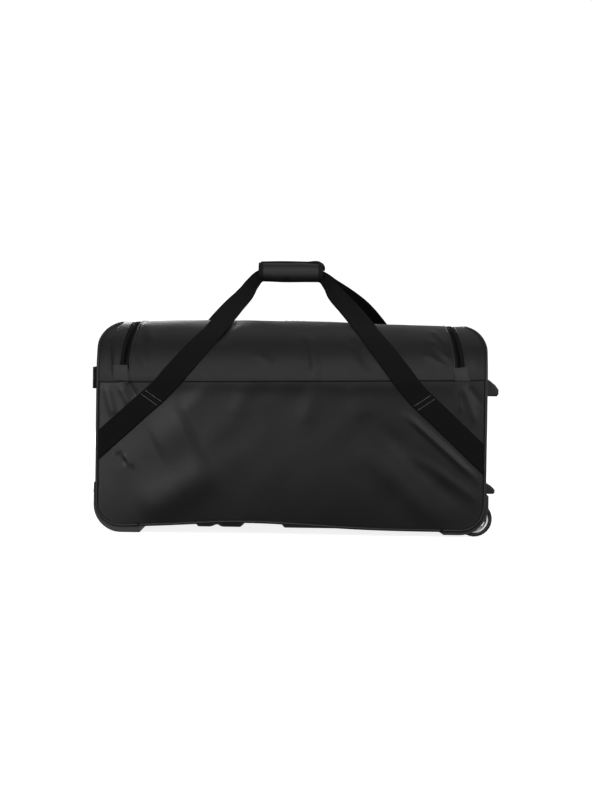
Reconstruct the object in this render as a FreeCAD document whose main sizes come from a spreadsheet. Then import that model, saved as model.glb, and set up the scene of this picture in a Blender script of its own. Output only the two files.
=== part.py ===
import FreeCAD, Part
import math
import os
import re
import Sketcher

os.makedirs("parts", exist_ok=True)
doc = FreeCAD.newDocument("RollingDuffel")
Vector = FreeCAD.Vector

# Frame: +X is the wheel end, -Y the front, +Z up; the origin is the middle of the
# footprint on the floor. All sizes are in millimetres.

# ---------------------------------------------------------------- driving sizes
sizes = {
    # the fabric body
    "body_len": 668, "body_depth": 370, "body_low": 11, "body_top": 362,
    "seam_height": 264, "fabric": 3, "shoulder_round": 95, "end_round": 42,
    "piping_proud": 1,
    # the zip: a U over the top, open towards the front
    "zip_half": 288, "zip_rear": 85, "zip_corner": 35, "zip_gap": 0.15, "zip_low": 290,
    "tape_wide": 7.5, "tape_thick": 1.5, "tape_sink": 0.5, "tooth_wide": 3.1, "tooth_tall": 2.4,
    "tab_low": 265, "tab_high": 288.5, "tab_inside": 281, "tab_outside": 307, "tab_thick": 2,
    "slider_start": 10, "slider_half": 9, "slider_thick": 1.8, "slider_lift": 0.6,
    "pull_long": 32, "pull_wide": 8, "pull_thick": 1.6,
    # webbing
    "web_wide": 38, "web_thick": 2, "web_off": 0.5, "bend_height": 246,
    "left_edge_height": 149, "left_stitch_x": -242, "left_stitch_height": 233,
    "right_edge_height": 132.6, "right_stitch_x": 229, "right_stitch_height": 231,
    "left_cross_x": -120, "right_cross_x": 117, "rear_bow": 20, "leave_angle": 54,
    # the padded hand grip round both handles
    "wrap_left": -63, "wrap_right": 53, "wrap_height": 459.5, "wrap_outer": 18.5,
    "wrap_inner": 14.5, "wrap_split": 0.2, "bar_wide": 20, "bar_thick": 9,
    # grab loop on the left end
    "loop_off": 26, "loop_web": 3, "loop_mid": 263.6, "loop_flat": 50, "loop_end": 82,
    "loop_tab": 62,
    # moulded guard along the lower left edge
    "guard_side": 6, "guard_depth": 364, "guard_top": 86, "guard_end": -260,
    # recess for the pull handle
    "cup_back": -296, "cup_half": 97, "cup_low": 24, "cup_high": 82, "cup_wall": 2.5,
    # telescopic pull handle
    "tube_side": 62, "tube_height": 44, "outer_od": 20, "outer_id": 17.6,
    "middle_od": 17, "middle_id": 14.6, "inner_od": 14, "inner_id": 11.6,
    "outer_end": 250, "middle_end": 196, "inner_end": 150, "collar_long": 6, "collar_od": 24,
    "stage_gap": 0.3, "middle_collar_long": 5.7, "middle_collar_od": 20,
    "grip_out": -338, "grip_in": -318, "grip_half": 75, "grip_low": 33, "grip_high": 55,
    "grip_round": 4.5, "hollow_out": -333, "hollow_in": -325, "hollow_half": 66,
    "hollow_tall": 9, "button_half": 20, "button_tall": 6, "button_proud": 2.5,
    "slot_play": 0.4, "bar_deep": 3.2, "bar_tall": 7, "rod_od": 5, "rod_end": 130,
    "block_start": 135, "pin_x": 143, "pin_od": 5, "pin_play": 0.1, "pin_foot": 2,
    "pin_short": 0.8,
    # inner frame
    "bracket_start": 236, "bracket_end": 262, "bracket_low": 30, "bracket_half": 90,
    "board_low": 56, "board_thick": 3, "board_left": -290, "board_right": 274,
    "board_half": 175, "saddle_one": -155, "saddle_one_end": -91, "saddle_two": -5,
    "saddle_two_end": 98, "saddle_half": 88, "saddle_gap": 38, "board_round": 20,
    # wheels
    "wheel_x": 318, "wheel_radius": 31, "wheel_side": 165, "wheel_wide": 22,
    "rim_radius": 24, "hub_half": 10, "hub_radius": 9, "axle_radius": 4,
    "axle_play": 0.05, "axle_half": 16.2, "collar_radius": 6, "tread_round": 4,
    "spoke_count": 6,
    # wheel housings
    "housing_thick": 8, "housing_outside": 182, "housing_inside": 115, "housing_top": 71,
    "housing_end": 265, "ramp_start": 253, "drum_outer": 38, "drum_inner": 34.5,
    "drum_wall": 3.5, "drum_half": 16.5, "drum_clear": 0.3,
    # feet on the wheel end
    "foot_side": 110, "foot_wide": 40, "upper_foot_low": 242, "upper_foot_tall": 33,
    "upper_foot_out": 26, "lower_foot_low": 71.4, "lower_foot_tall": 21.3,
    "lower_foot_out": 22, "foot_round": 2.5,
    # rivets
    "rivet_head": 4, "rivet_proud": 1.8, "rivet_shank": 1.8, "rivet_deep": 4,
}
sheet = doc.addObject("Spreadsheet::Sheet", "Sizes")
for row, (word, value) in enumerate(sizes.items(), 1):
    sheet.set(f"A{row}", word)
    sheet.set(f"B{row}", str(value))
    sheet.setAlias(f"B{row}", word)
doc.recompute()


# ---------------------------------------------------------------- small tools
def size(word):
    # The value of one cell of the sheet.
    return float(sheet.get(word))


def formula(text):
    # Formulas name the sheet's cells by their bare words.
    def full(match):
        word = match.group(0)
        return f"Sizes.{word}" if word in sizes else word
    return re.sub(r"[a-z][a-z0-9_]*", full, str(text))


def bind(item, **formulas):
    # Binds properties of an object to formulas of the sheet.
    for name, text in formulas.items():
        item.setExpression(name, formula(text))
    return item


def place(item, x, y, z):
    # Binds the place of an object.
    for axis, text in zip("xyz", (x, y, z)):
        item.setExpression(f"Placement.Base.{axis}", formula(text))
    return item


def box(name, x, y, z):
    # A block between two planes on each axis.
    block = doc.addObject("Part::Box", name)
    bind(block, Length=f"({x[1]}) - ({x[0]})", Width=f"({y[1]}) - ({y[0]})",
         Height=f"({z[1]}) - ({z[0]})")
    return place(block, x[0], y[0], z[0])


turns = {
    "x": FreeCAD.Rotation(Vector(0, 1, 0), 90),
    "y": FreeCAD.Rotation(Vector(1, 0, 0), -90),
    "z": FreeCAD.Rotation(),
}


def rod(name, along, radius, span, across):
    # A cylinder along one axis between two planes; across gives its two other coordinates.
    cylinder = doc.addObject("Part::Cylinder", name)
    cylinder.Placement = FreeCAD.Placement(Vector(), turns[along])
    bind(cylinder, Radius=radius, Height=f"({span[1]}) - ({span[0]})")
    spots = list(across)
    spots.insert("xyz".index(along), span[0])
    return place(cylinder, *spots)


def join(name, *items):
    fused = doc.addObject("Part::MultiFuse", name)
    fused.Shapes = list(items)
    return fused


def cut(name, base, *tools):
    removed = tools[0] if len(tools) == 1 else join(f"{name}_tools", *tools)
    left = doc.addObject("Part::Cut", name)
    left.Base = base
    left.Tool = removed
    return left


def meet(name, *items):
    shared = doc.addObject("Part::MultiCommon", name)
    shared.Shapes = list(items)
    return shared


def mirrored(name, source, normal=(0, 1, 0)):
    # The same piece on the other side of the middle plane.
    copy = doc.addObject("Part::Mirroring", name)
    copy.Source = source
    copy.Normal = normal
    return copy


def together(name, *items):
    # Equal separate pieces kept as one sub-part.
    pair = doc.addObject("Part::Compound", name)
    pair.Links = list(items)
    return pair


def body(name, x="0", y="0", z="0"):
    return place(doc.addObject("PartDesign::Body", name), x, y, z)


def sketch(owner, name, role, corners):
    # A closed outline of straight lines on one of the body's own planes; every corner's
    # two coordinates are constraints bound to formulas.
    drawing = owner.newObject("Sketcher::SketchObject", name)
    plane = [f for f in owner.Origin.OriginFeatures if f.Role == role][0]
    drawing.AttachmentSupport = [(plane, "")]
    drawing.MapMode = "FlatFace"
    count = len(corners)
    round_trip = [2 * math.pi * n / count for n in range(count)]
    spots = [Vector(50 * math.cos(a) + 1, 50 * math.sin(a) + 2, 0) for a in round_trip]
    for n in range(count):
        drawing.addGeometry(Part.LineSegment(spots[n], spots[(n + 1) % count]), False)
    for n in range(count):
        drawing.addConstraint(Sketcher.Constraint("Coincident", n, 2, (n + 1) % count, 1))
    for n, corner in enumerate(corners):
        for kind, text, start in zip(("DistanceX", "DistanceY"), corner, spots[n]):
            mark = drawing.addConstraint(Sketcher.Constraint(kind, -1, 1, n, 1, start))
            drawing.setExpression(f"Constraints[{mark}]", formula(text))
    return drawing


def pad(owner, drawing, length):
    # A pad of the sketch, the same distance to both sides of its plane.
    feature = owner.newObject("PartDesign::Pad", f"{owner.Name}_pad")
    feature.Profile = drawing
    feature.SideType = "Symmetric"
    return bind(feature, Length=length)


def pocket(owner, drawing, length):
    feature = owner.newObject("PartDesign::Pocket", f"{drawing.Name}_pocket")
    feature.Profile = drawing
    feature.SideType = "Symmetric"
    return bind(feature, Length=length)


def spin(owner, drawing, axis):
    # A full turn of the sketch about one of its own axes.
    feature = owner.newObject("PartDesign::Revolution", f"{owner.Name}_turn")
    feature.Profile = drawing
    feature.ReferenceAxis = (drawing, [axis])
    feature.Angle = 360
    return feature


def fillet(owner, base, radius, wanted):
    # Rounds the edges for which wanted(edge) is true.
    doc.recompute()
    edges = [f"Edge{n}" for n, edge in enumerate(base.Shape.Edges, 1) if wanted(edge)]
    feature = owner.newObject("PartDesign::Fillet", f"{base.Name}_round")
    feature.Base = (base, edges)
    return bind(feature, Radius=radius)


def runs_along(axis):
    # A test for straight edges that run along one axis.
    def test(edge):
        if edge.Curve.TypeId != "Part::GeomLine":
            return False
        return abs(edge.Curve.Direction["xyz".index(axis)]) > 0.99
    return test


def feature_of(name, shape):
    # A sub-part whose shape is worked out by this file from the sheet's sizes.
    item = doc.addObject("Part::Feature", name)
    item.Shape = shape
    item.Placement = FreeCAD.Placement()
    return item


subparts = []


def keep(item, label=None):
    # Registers a finished sub-part under the name of its node.
    item.Label = label or item.Name
    subparts.append(item)
    return item


# ---------------------------------------------------------------- the bag's two forms
made = {}


def length_form(grow):
    # The outline seen from the front, with four rounded corners, run through the depth.
    if ("length", grow) in made:
        return made["length", grow]
    name = f"length_form_{len(made)}"
    across = ("-body_depth / 2 - 20", "body_depth / 2 + 20")
    flat = box(f"{name}_flat", ("-body_len / 2 + end_round", "body_len / 2 - end_round"),
               across, (f"body_low - ({grow})", f"body_top + ({grow})"))
    tall = box(f"{name}_tall", (f"-body_len / 2 - ({grow})", f"body_len / 2 + ({grow})"),
               across, ("body_low + end_round", "body_top - end_round"))
    corners = [
        rod(f"{name}_corner", "y", f"end_round + ({grow})", across,
            (f"{side} * (body_len / 2 - end_round)", height))
        for side in (-1, 1)
        for height in ("body_low + end_round", "body_top - end_round")
    ]
    made["length", grow] = join(name, flat, tall, *corners)
    return made["length", grow]


def depth_form(grow):
    # The outline seen from the end, with round shoulders, run through the length. It is
    # open below, where the length form gives the bottom.
    if ("depth", grow) in made:
        return made["depth", grow]
    name = f"depth_form_{len(made)}"
    along = ("-body_len / 2 - 20", "body_len / 2 + 20")
    tall = box(f"{name}_tall", along,
               ("-body_depth / 2 + shoulder_round", "body_depth / 2 - shoulder_round"),
               ("-body_low", f"body_top + ({grow})"))
    wide = box(f"{name}_wide", along,
               (f"-body_depth / 2 - ({grow})", f"body_depth / 2 + ({grow})"),
               ("-body_low", "body_top - shoulder_round"))
    shoulders = [
        rod(f"{name}_shoulder", "x", f"shoulder_round + ({grow})", along,
            (f"{side} * (body_depth / 2 - shoulder_round)", "body_top - shoulder_round"))
        for side in (-1, 1)
    ]
    made["depth", grow] = join(name, tall, wide, *shoulders)
    return made["depth", grow]


def skin(form, outer, inner):
    # The layer between two sizes of one form.
    key = (form.__name__, outer, inner)
    if key not in made:
        made[key] = cut(f"skin_{len(made)}", form(outer), form(inner))
    return made[key]


def plan_form(name, away):
    # The zip's plan, a given distance outside its middle line: straight sides and a rear
    # edge with round corners, open to the front.
    half = f"zip_half + ({away})"
    rear = f"zip_rear + ({away})"
    bend = f"zip_corner + ({away})"
    tall = ("seam_height + 2 * zip_gap", "body_top + 30")
    front = "-body_depth / 2 - 30"
    middle = box(f"{name}_middle", (f"-({half}) + {bend}", f"{half} - ({bend})"),
                 (front, rear), tall)
    sides = box(f"{name}_sides", (f"-({half})", half), (front, f"{rear} - ({bend})"), tall)
    corners = [
        rod(f"{name}_corner", "z", bend, tall,
            (f"{side} * ({half} - ({bend}))", f"{rear} - ({bend})"))
        for side in (-1, 1)
    ]
    return join(name, middle, sides, *corners)


far = ("-body_len", "body_len")
deep = ("-body_depth", "body_depth")
front_half = ("-body_depth", "0")
rear_half = ("0", "body_depth")
zip_outside = "(zip_half + tape_wide)"
left_of_zip = ("-body_len", f"-{zip_outside}")
right_of_zip = (zip_outside, "body_len")
between = (f"-{zip_outside}", zip_outside)
above_seam = ("seam_height", "body_top + 30")
below_seam = ("-10", "seam_height")

outer_form = length_form("0")
inner_form = length_form("-fabric")
inner_depth = depth_form("-fabric")
end_skin = skin(length_form, "0", "-fabric")
side_skin = skin(depth_form, "0", "-fabric")

# Cylinders in which the wheels turn, with the clearance that the fabric keeps.
drum_room = [
    rod(f"drum_room_{n}", "y", "drum_outer + drum_clear",
        (f"{side} * wheel_side - drum_half - drum_clear",
         f"{side} * wheel_side + drum_half + drum_clear"), ("wheel_x", "wheel_radius"))
    for n, side in enumerate((-1, 1))
]
cup_room = box("cup_room", ("-body_len", "cup_back"), ("-cup_half", "cup_half"),
               ("cup_low", "cup_high"))


# ---------------------------------------------------------------- fabric panels
def panel(name, side):
    # The big flat panel below the seam, in front (side -1) or at the rear (side 1).
    faces = ("body_depth / 2 - fabric", "body_depth / 2")
    if side < 0:
        faces = tuple(f"-({text})" for text in reversed(faces))
    return keep(meet(name, box(f"{name}_slab", far, faces, below_seam), inner_form))


def bottom_panel():
    strip = meet("bottom_strip", end_skin, inner_depth,
                 box("bottom_zone", between, deep, ("-10", "60")))
    return keep(cut("bottom_panel", strip, *drum_room))


def end_gusset(name, zone, *openings):
    strip = meet(f"{name}_strip", end_skin, inner_depth, box(f"{name}_zone", zone, deep,
                                                          ("-10", "body_top + 30")))
    return keep(cut(name, strip, *openings))


def shoulder_strip(name, zone):
    return keep(meet(name, side_skin, inner_form,
                     box(f"{name}_zone", zone, front_half, above_seam)))


def rear_yoke():
    # The rear shoulder and the strip behind the zip, in one piece from end to end.
    reach = join("yoke_reach", inner_form, box("yoke_middle", between, deep, above_seam))
    strip = meet("yoke_strip", side_skin, reach, box("yoke_zone", far, rear_half, above_seam))
    return keep(cut("rear_yoke", strip, plan_form("yoke_cutout", "tape_wide")))


def piping():
    # Corded edges where an end or the bottom meets the front and rear panels.
    cord = meet("piping_all", skin(length_form, "piping_proud", "-fabric"),
                skin(depth_form, "piping_proud", "-fabric"))
    tall = ("-10", "body_top + 30")
    keep(meet("piping_left", cord, box("piping_left_zone", left_of_zip, deep, tall)))
    keep(meet("piping_right", cord, box("piping_right_zone", right_of_zip, deep, tall)))
    keep(meet("piping_bottom", cord, box("piping_bottom_zone", between, deep, ("-10", "60"))))


panel("front_panel", -1)
panel("rear_panel", 1)
bottom_panel()
end_gusset("end_gusset_left", left_of_zip, cup_room)
end_gusset("end_gusset_right", right_of_zip, *drum_room)
shoulder_strip("shoulder_strip_left", left_of_zip)
shoulder_strip("shoulder_strip_right", right_of_zip)
rear_yoke()
piping()


# ---------------------------------------------------------------- lid and zip
def lid_panel():
    return keep(meet("lid_panel", side_skin, plan_form("lid_plan", "-tape_wide")))


def zip_run(name, outer, inner, from_away, to_away):
    # A layer of the zip between two distances from its middle line, down to its lower end.
    layer = skin(depth_form, outer, inner)
    ring = cut(f"{name}_ring", plan_form(f"{name}_out", to_away),
               plan_form(f"{name}_in", from_away))
    tall = ("zip_low", "body_top + 30")
    return keep(meet(name, layer, ring, box(f"{name}_zone", far, deep, tall)))


def zip_end_tab(name, side):
    # The stitched patch that closes each lower end of the zip.
    reach = ("tab_inside", "tab_outside")
    if side < 0:
        reach = tuple(f"-{text}" for text in reversed(reach))
    return keep(box(name, reach, ("-body_depth / 2 - tab_thick", "-body_depth / 2"),
                    ("tab_low", "tab_high")))


def zip_slider(name, side):
    # A top plate over both tooth rows, a guide on the lid's side and a bridge for the pull.
    middle = f"{side} * slider_start"
    span = (f"{middle} - slider_half", f"{middle} + slider_half")
    teeth_top = "(body_top - tape_sink + tooth_tall)"
    plate_low = f"({teeth_top} + slider_lift)"
    plate_top = f"({plate_low} + slider_thick)"
    plate = box(f"{name}_plate", span, ("zip_rear - 6", "zip_rear + 6"), (plate_low, plate_top))
    guide = box(f"{name}_guide", span, ("zip_rear - 6", "zip_rear - tooth_wide - 0.6"),
                ("body_top", plate_low))
    posts = [
        box(f"{name}_post_{n}", (f"{middle} + {low}", f"{middle} + {low} + 2"),
            ("zip_rear - 3", "zip_rear + 3"), (plate_top, f"{plate_top} + 4.6"))
        for n, low in enumerate((-7, 5))
    ]
    return keep(join(name, plate, guide, *posts))


def zip_pull(name, side):
    # A flat pull with a round cross pin between the slider's posts; it lies forwards.
    height = "body_top - tape_sink + tooth_tall + slider_lift + slider_thick + 2.4"
    owner = body(name, f"{side} * slider_start", "zip_rear", height)
    outline = sketch(owner, f"{name}_outline", "XY_Plane", [
        ("-pull_wide / 2", "-2"), ("pull_wide / 2", "-2"),
        ("pull_wide / 2", "-pull_long"), ("-pull_wide / 2", "-pull_long")])
    blade = pad(owner, outline, "pull_thick")
    hole = sketch(owner, f"{name}_hole", "XY_Plane", [
        ("-pull_wide / 4", "-pull_long + 8"), ("pull_wide / 4", "-pull_long + 8"),
        ("pull_wide / 4", "-pull_long + 3"), ("-pull_wide / 4", "-pull_long + 3")])
    blade = pocket(owner, hole, "pull_thick * 3")
    cross = sketch(owner, f"{name}_cross", "XY_Plane", [
        ("-4.7", "0"), ("4.7", "0"), ("4.7", "1.2"), ("-4.7", "1.2")])
    spin(owner, cross, "H_Axis")
    neck = sketch(owner, f"{name}_neck", "XY_Plane", [
        ("-2.5", "-3"), ("2.5", "-3"), ("2.5", "-0.2"), ("-2.5", "-0.2")])
    neck_pad = owner.newObject("PartDesign::Pad", f"{name}_neck_pad")
    neck_pad.Profile = neck
    neck_pad.SideType = "Symmetric"
    bind(neck_pad, Length="pull_thick")
    return keep(owner)


lid_panel()
tape_top = "-tape_sink"
tape_foot = "-tape_sink - tape_thick"
tooth_top = "-tape_sink + tooth_tall"
zip_run("zip_tape_bag", tape_top, tape_foot, "zip_gap", "tape_wide")
zip_run("zip_teeth_bag", tooth_top, tape_top, "zip_gap", "tooth_wide")
zip_run("zip_tape_lid", tape_top, tape_foot, "-tape_wide", "-zip_gap")
zip_run("zip_teeth_lid", tooth_top, tape_top, "-tooth_wide", "-zip_gap")
for end, side in (("left", -1), ("right", 1)):
    zip_end_tab(f"zip_end_tab_{end}", side)
    zip_slider(f"zip_slider_{end}", side)
    zip_pull(f"zip_pull_{end}", side)


# ---------------------------------------------------------------- webbing and handles
def strap(name, end, side):
    # Webbing sewn flat on a panel from the end's piping to the line where the handle
    # bends free; end is left or right, side is -1 in front and 1 at the rear.
    sign = -1 if end == "left" else 1
    edge_x = sign * size("body_len") / 2
    edge_height = size(f"{end}_edge_height")
    stitch = Vector(size(f"{end}_stitch_x"), size(f"{end}_stitch_height"), 0)
    if side > 0:
        stitch.x += sign * size("rear_bow") / 2
    rise = stitch.y - edge_height
    run = abs(edge_x - stitch.x)
    slope = math.atan2(rise, run)
    half_upright = size("web_wide") / 2 / math.cos(slope)
    half_level = size("web_wide") / 2 / math.sin(slope)
    bend = size("bend_height")
    middle = edge_x - sign * (bend - edge_height) / math.tan(slope)
    seam_x = edge_x - sign * size("fabric")
    seam_height = edge_height + size("fabric") * math.tan(slope)
    corners = [
        (seam_x, seam_height - half_upright), (seam_x, seam_height + half_upright),
        (middle + sign * half_level, bend), (middle - sign * half_level, bend),
    ]
    outer = side * (size("body_depth") / 2 + size("web_thick"))
    inner = side * size("body_depth") / 2
    wire = Part.makePolygon([Vector(x, inner, z) for x, z in corners + corners[:1]])
    keep(feature_of(name, Part.Face(wire).extrude(Vector(0, outer - inner, 0))))
    return middle, half_level


def ribbon(sections):
    # A closed solid through four-cornered sections, with triangles between them.
    faces = [Part.Face(Part.makePolygon(sections[n] + sections[n][:1])) for n in (0, -1)]
    for near, away in zip(sections, sections[1:]):
        for n in range(4):
            m = (n + 1) % 4
            for corners in ((near[n], near[m], away[m]), (near[n], away[m], away[n])):
                faces.append(Part.Face(Part.makePolygon([*corners, corners[0]])))
    solid = Part.Solid(Part.Shell(faces))
    if solid.Volume < 0:
        solid.reverse()
    return solid


def section(centre, across, through, wide, thick):
    half = across * (wide / 2)
    lift = through * (thick / 2)
    return [centre - half - lift, centre + half - lift, centre + half + lift,
            centre - half + lift]


def handle_route(side, feet):
    # One handle from its left foot over the shoulder, through the hand grip and down to
    # its right foot. Each stop is a centre, the webbing's outward normal, a width and a
    # thickness. Side is -1 in front and 1 at the rear; feet gives the two bend places.
    shoulder_y = size("body_depth") / 2 - size("shoulder_round")
    shoulder_height = size("body_top") - size("shoulder_round")
    radius = size("shoulder_round") + 2.4
    bow = size("rear_bow") if side > 0 else 0
    bend = size("bend_height") + size("web_off")
    cross_height = size("body_top") + 1
    stops = []
    for end, sign in (("left", -1), ("right", 1)):
        foot_x, half_level = feet[end]
        cross_x = size(f"{end}_cross_x") + sign * bow
        lean = (cross_x - foot_x) / (cross_height - bend)
        foot_y = size("body_depth") / 2 + size("web_off") + size("web_thick") / 2
        climb = [(Vector(foot_x, side * foot_y, bend), Vector(0, side, 0),
                  2 * half_level, size("web_thick"))]
        for angle in range(0, int(size("leave_angle")) + 1, 9):
            turn = math.radians(angle)
            height = shoulder_height + radius * math.sin(turn)
            spot = Vector(foot_x + lean * (height - bend),
                          side * (shoulder_y + radius * math.cos(turn)), height)
            climb.append((spot, Vector(0, side * math.cos(turn), math.sin(turn)),
                          size("web_wide"), size("web_thick")))
        leave = climb[-1][0]
        lie = climb[-1][1]
        wrap_end = size(f"wrap_{end}")
        wrap_height = size("wrap_height")
        # free rise from the shoulder to the grip, getting narrower and steeper
        for share, pull_in, wide in ((0.46, 0.52, 38), (0.77, 0.82, 34), (0.92, 0.96, 22)):
            spot = Vector(
                leave.x + (wrap_end + sign * 8 - leave.x) * pull_in,
                leave.y * (1 - share) + side * 8 * share,
                leave.z + (wrap_height - 11 - leave.z) * share)
            level = max(0.0, share - 0.5) * 1.2
            normal = lie * (1 - level) + Vector(0, side, 0) * level
            climb.append((spot, normal.normalize(), wide, size("web_thick")))
        bar_y = side * (size("bar_thick") / 2 + 1)
        climb.append((Vector(wrap_end + sign * 2, bar_y, wrap_height), Vector(0, side, 0),
                      size("bar_wide"), size("bar_thick")))
        stops = climb if sign < 0 else stops + climb[::-1]
    return stops


def handle_strap(name, side, feet):
    stops = handle_route(side, feet)
    sections = []
    for n, (centre, normal, wide, thick) in enumerate(stops):
        if n in (0, len(stops) - 1):
            # the feet are cut level, along the bend line
            sections.append(section(centre, Vector(-side, 0, 0), normal, wide, thick))
            continue
        heading = (stops[n + 1][0] - stops[n - 1][0]).normalize()
        across = heading.cross(normal).normalize()
        sections.append(section(centre, across, across.cross(heading), wide, thick))
    return keep(feature_of(name, ribbon(sections)))


def grip_wrap(name, side):
    # One half of the padded sleeve that holds the two handles together.
    span = ("wrap_left", "wrap_right")
    middle = ("0", "wrap_height")
    sleeve = cut(f"{name}_sleeve", rod(f"{name}_outer", "x", "wrap_outer", span, middle),
                 rod(f"{name}_inner", "x", "wrap_inner", ("wrap_left - 1", "wrap_right + 1"),
                     middle))
    half = ("-40", "-wrap_split") if side < 0 else ("wrap_split", "40")
    zone = box(f"{name}_zone", far, half, ("wrap_height - 40", "wrap_height + 40"))
    return keep(meet(name, sleeve, zone))


for where, side in (("front", -1), ("rear", 1)):
    feet = {end: strap(f"{where}_strap_{end}", end, side) for end in ("left", "right")}
    handle_strap(f"{where}_handle_strap", side, feet)
    grip_wrap(f"grip_wrap_{where}", side)


def side_grab_loop():
    # A stiff webbing loop across the left end, sewn flat at both ends.
    owner = body("side_grab_loop", "-body_len / 2", "0", "loop_mid")
    half = [
        ("0", "loop_end"), ("-loop_web", "loop_end"), ("-loop_off", "loop_flat"),
        ("loop_web - loop_off", "loop_flat - 1"), ("-loop_web", "loop_end - 5.2"),
        ("-loop_web", "loop_tab"), ("0", "loop_tab"),
    ]
    upper, lower = half[:3], half[3:]
    corners = [(x, f"-({y})") for x, y in upper] + [(x, y) for x, y in upper[::-1]]
    corners += [(x, y) for x, y in lower[::-1]] + [(x, f"-({y})") for x, y in lower]
    pad(owner, sketch(owner, "side_grab_loop_outline", "XY_Plane", corners), "web_wide")
    return keep(owner)


side_grab_loop()


# ---------------------------------------------------------------- moulded guard and cup
def guard_form():
    # The outside of the guard: it stands off the end a little and reaches the floor.
    out = "-body_len / 2 - guard_side"
    bend = "end_round + guard_side"
    across = ("-guard_depth / 2", "guard_depth / 2")
    tall = box("guard_tall", (out, "-body_len / 2 + end_round"), across, (bend, "guard_top"))
    flat = box("guard_flat", (f"{out} + {bend}", "guard_end"), across, ("0", "guard_top"))
    round_edge = rod("guard_round", "y", bend, across, (f"{out} + {bend}", bend))
    return join("guard_form", tall, flat, round_edge)


def rivet(name, along, face, inward, across):
    # A low head on a surface and a short shank into it; inward is 1 or -1 on that axis.
    head_far = f"{face} - ({inward}) * rivet_proud"
    shank_far = f"{face} + ({inward}) * rivet_deep"
    head = (head_far, face) if inward > 0 else (face, head_far)
    shank = (face, shank_far) if inward > 0 else (shank_far, face)
    return join(name, rod(f"{name}_head", along, "rivet_head", head, across),
                rod(f"{name}_shank", along, "rivet_shank", shank, across))


guard_outside = guard_form()
guard_rivets = [
    rivet(f"guard_rivet_{n}", "x", "-body_len / 2 - guard_side", 1, (across, "guard_top - 15"))
    for n, across in enumerate(("-165", "-120", "120", "165"))
]
keep(cut("corner_guard", guard_outside, outer_form, cup_room, *guard_rivets))
keep(together("guard_rivets", *guard_rivets))


def handle_cup():
    # The recess in which the pull grip rests, open at the left end.
    shell = meet("cup_shell", cup_room, guard_outside)
    hollow = box("cup_hollow", ("-body_len", "cup_back - cup_wall"),
                 ("-cup_half + cup_wall", "cup_half - cup_wall"),
                 ("cup_low + cup_wall", "cup_high - cup_wall"))
    holes = [
        rod(f"cup_hole_{n}", "x", "outer_od / 2", ("-body_len / 2", "0"),
            (f"{side} * tube_side", "tube_height"))
        for n, side in enumerate((-1, 1))
    ]
    return keep(cut("handle_cup", shell, hollow, *holes))


handle_cup()


# ---------------------------------------------------------------- telescopic pull handle
def pipe(name, side, outside, inside, span):
    # A round tube along X on one side of the handle.
    across = (f"{side} * tube_side", "tube_height")
    bore = (f"({span[0]}) - 1", f"({span[1]}) + 1")
    return cut(name, rod(f"{name}_outside", "x", f"({outside}) / 2", span, across),
               rod(f"{name}_inside", "x", f"({inside}) / 2", bore, across))


def pair_of_pipes(name, outside, inside, span):
    front = pipe(f"{name}_front", -1, outside, inside, span)
    return keep(together(name, front, mirrored(f"{name}_rear", front)))


mouth = "cup_back - cup_wall"
mouth_out = f"{mouth} - collar_long"
middle_out = f"{mouth_out} - stage_gap"
pair_of_pipes("outer_tubes", "outer_od", "outer_id", (mouth, "outer_end"))
pair_of_pipes("mouth_collars", "collar_od", "middle_od + 0.2", (mouth_out, mouth))
pair_of_pipes("middle_tubes", "middle_od", "middle_id", (middle_out, "middle_end"))
pair_of_pipes("middle_collars", "middle_collar_od", "inner_od + 0.3",
              (f"{middle_out} - middle_collar_long", middle_out))


def inner_tubes():
    front = pipe("inner_tube_plain", -1, "inner_od", "inner_id", ("hollow_in", "inner_end"))
    hole = rod("inner_tube_hole", "z", "pin_od / 2 + pin_play", ("tube_height",
               "tube_height + inner_od"), ("pin_x", "-tube_side"))
    front = cut("inner_tube_front", front, hole)
    keep(together("inner_tubes", front, mirrored("inner_tube_rear", front)))


def lock_blocks():
    # Plugs in the ends of the inner tubes, each bored for its lock pin.
    across = ("-tube_side", "tube_height")
    plug = rod("lock_plug", "x", "inner_id / 2", ("block_start", "inner_end"), across)
    bore = rod("lock_bore", "z", "pin_od / 2 + pin_play", ("tube_height - 2",
               "tube_height + inner_od"), ("pin_x", "-tube_side"))
    front = cut("lock_block_front", plug, bore)
    keep(together("lock_blocks", front, mirrored("lock_block_rear", front)))


def lock_pins():
    front = rod("lock_pin_front", "z", "pin_od / 2",
                ("tube_height + pin_foot", "tube_height + inner_od / 2 - pin_short"),
                ("pin_x", "-tube_side"))
    keep(together("lock_pins", front, mirrored("lock_pin_rear", front)))


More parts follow.
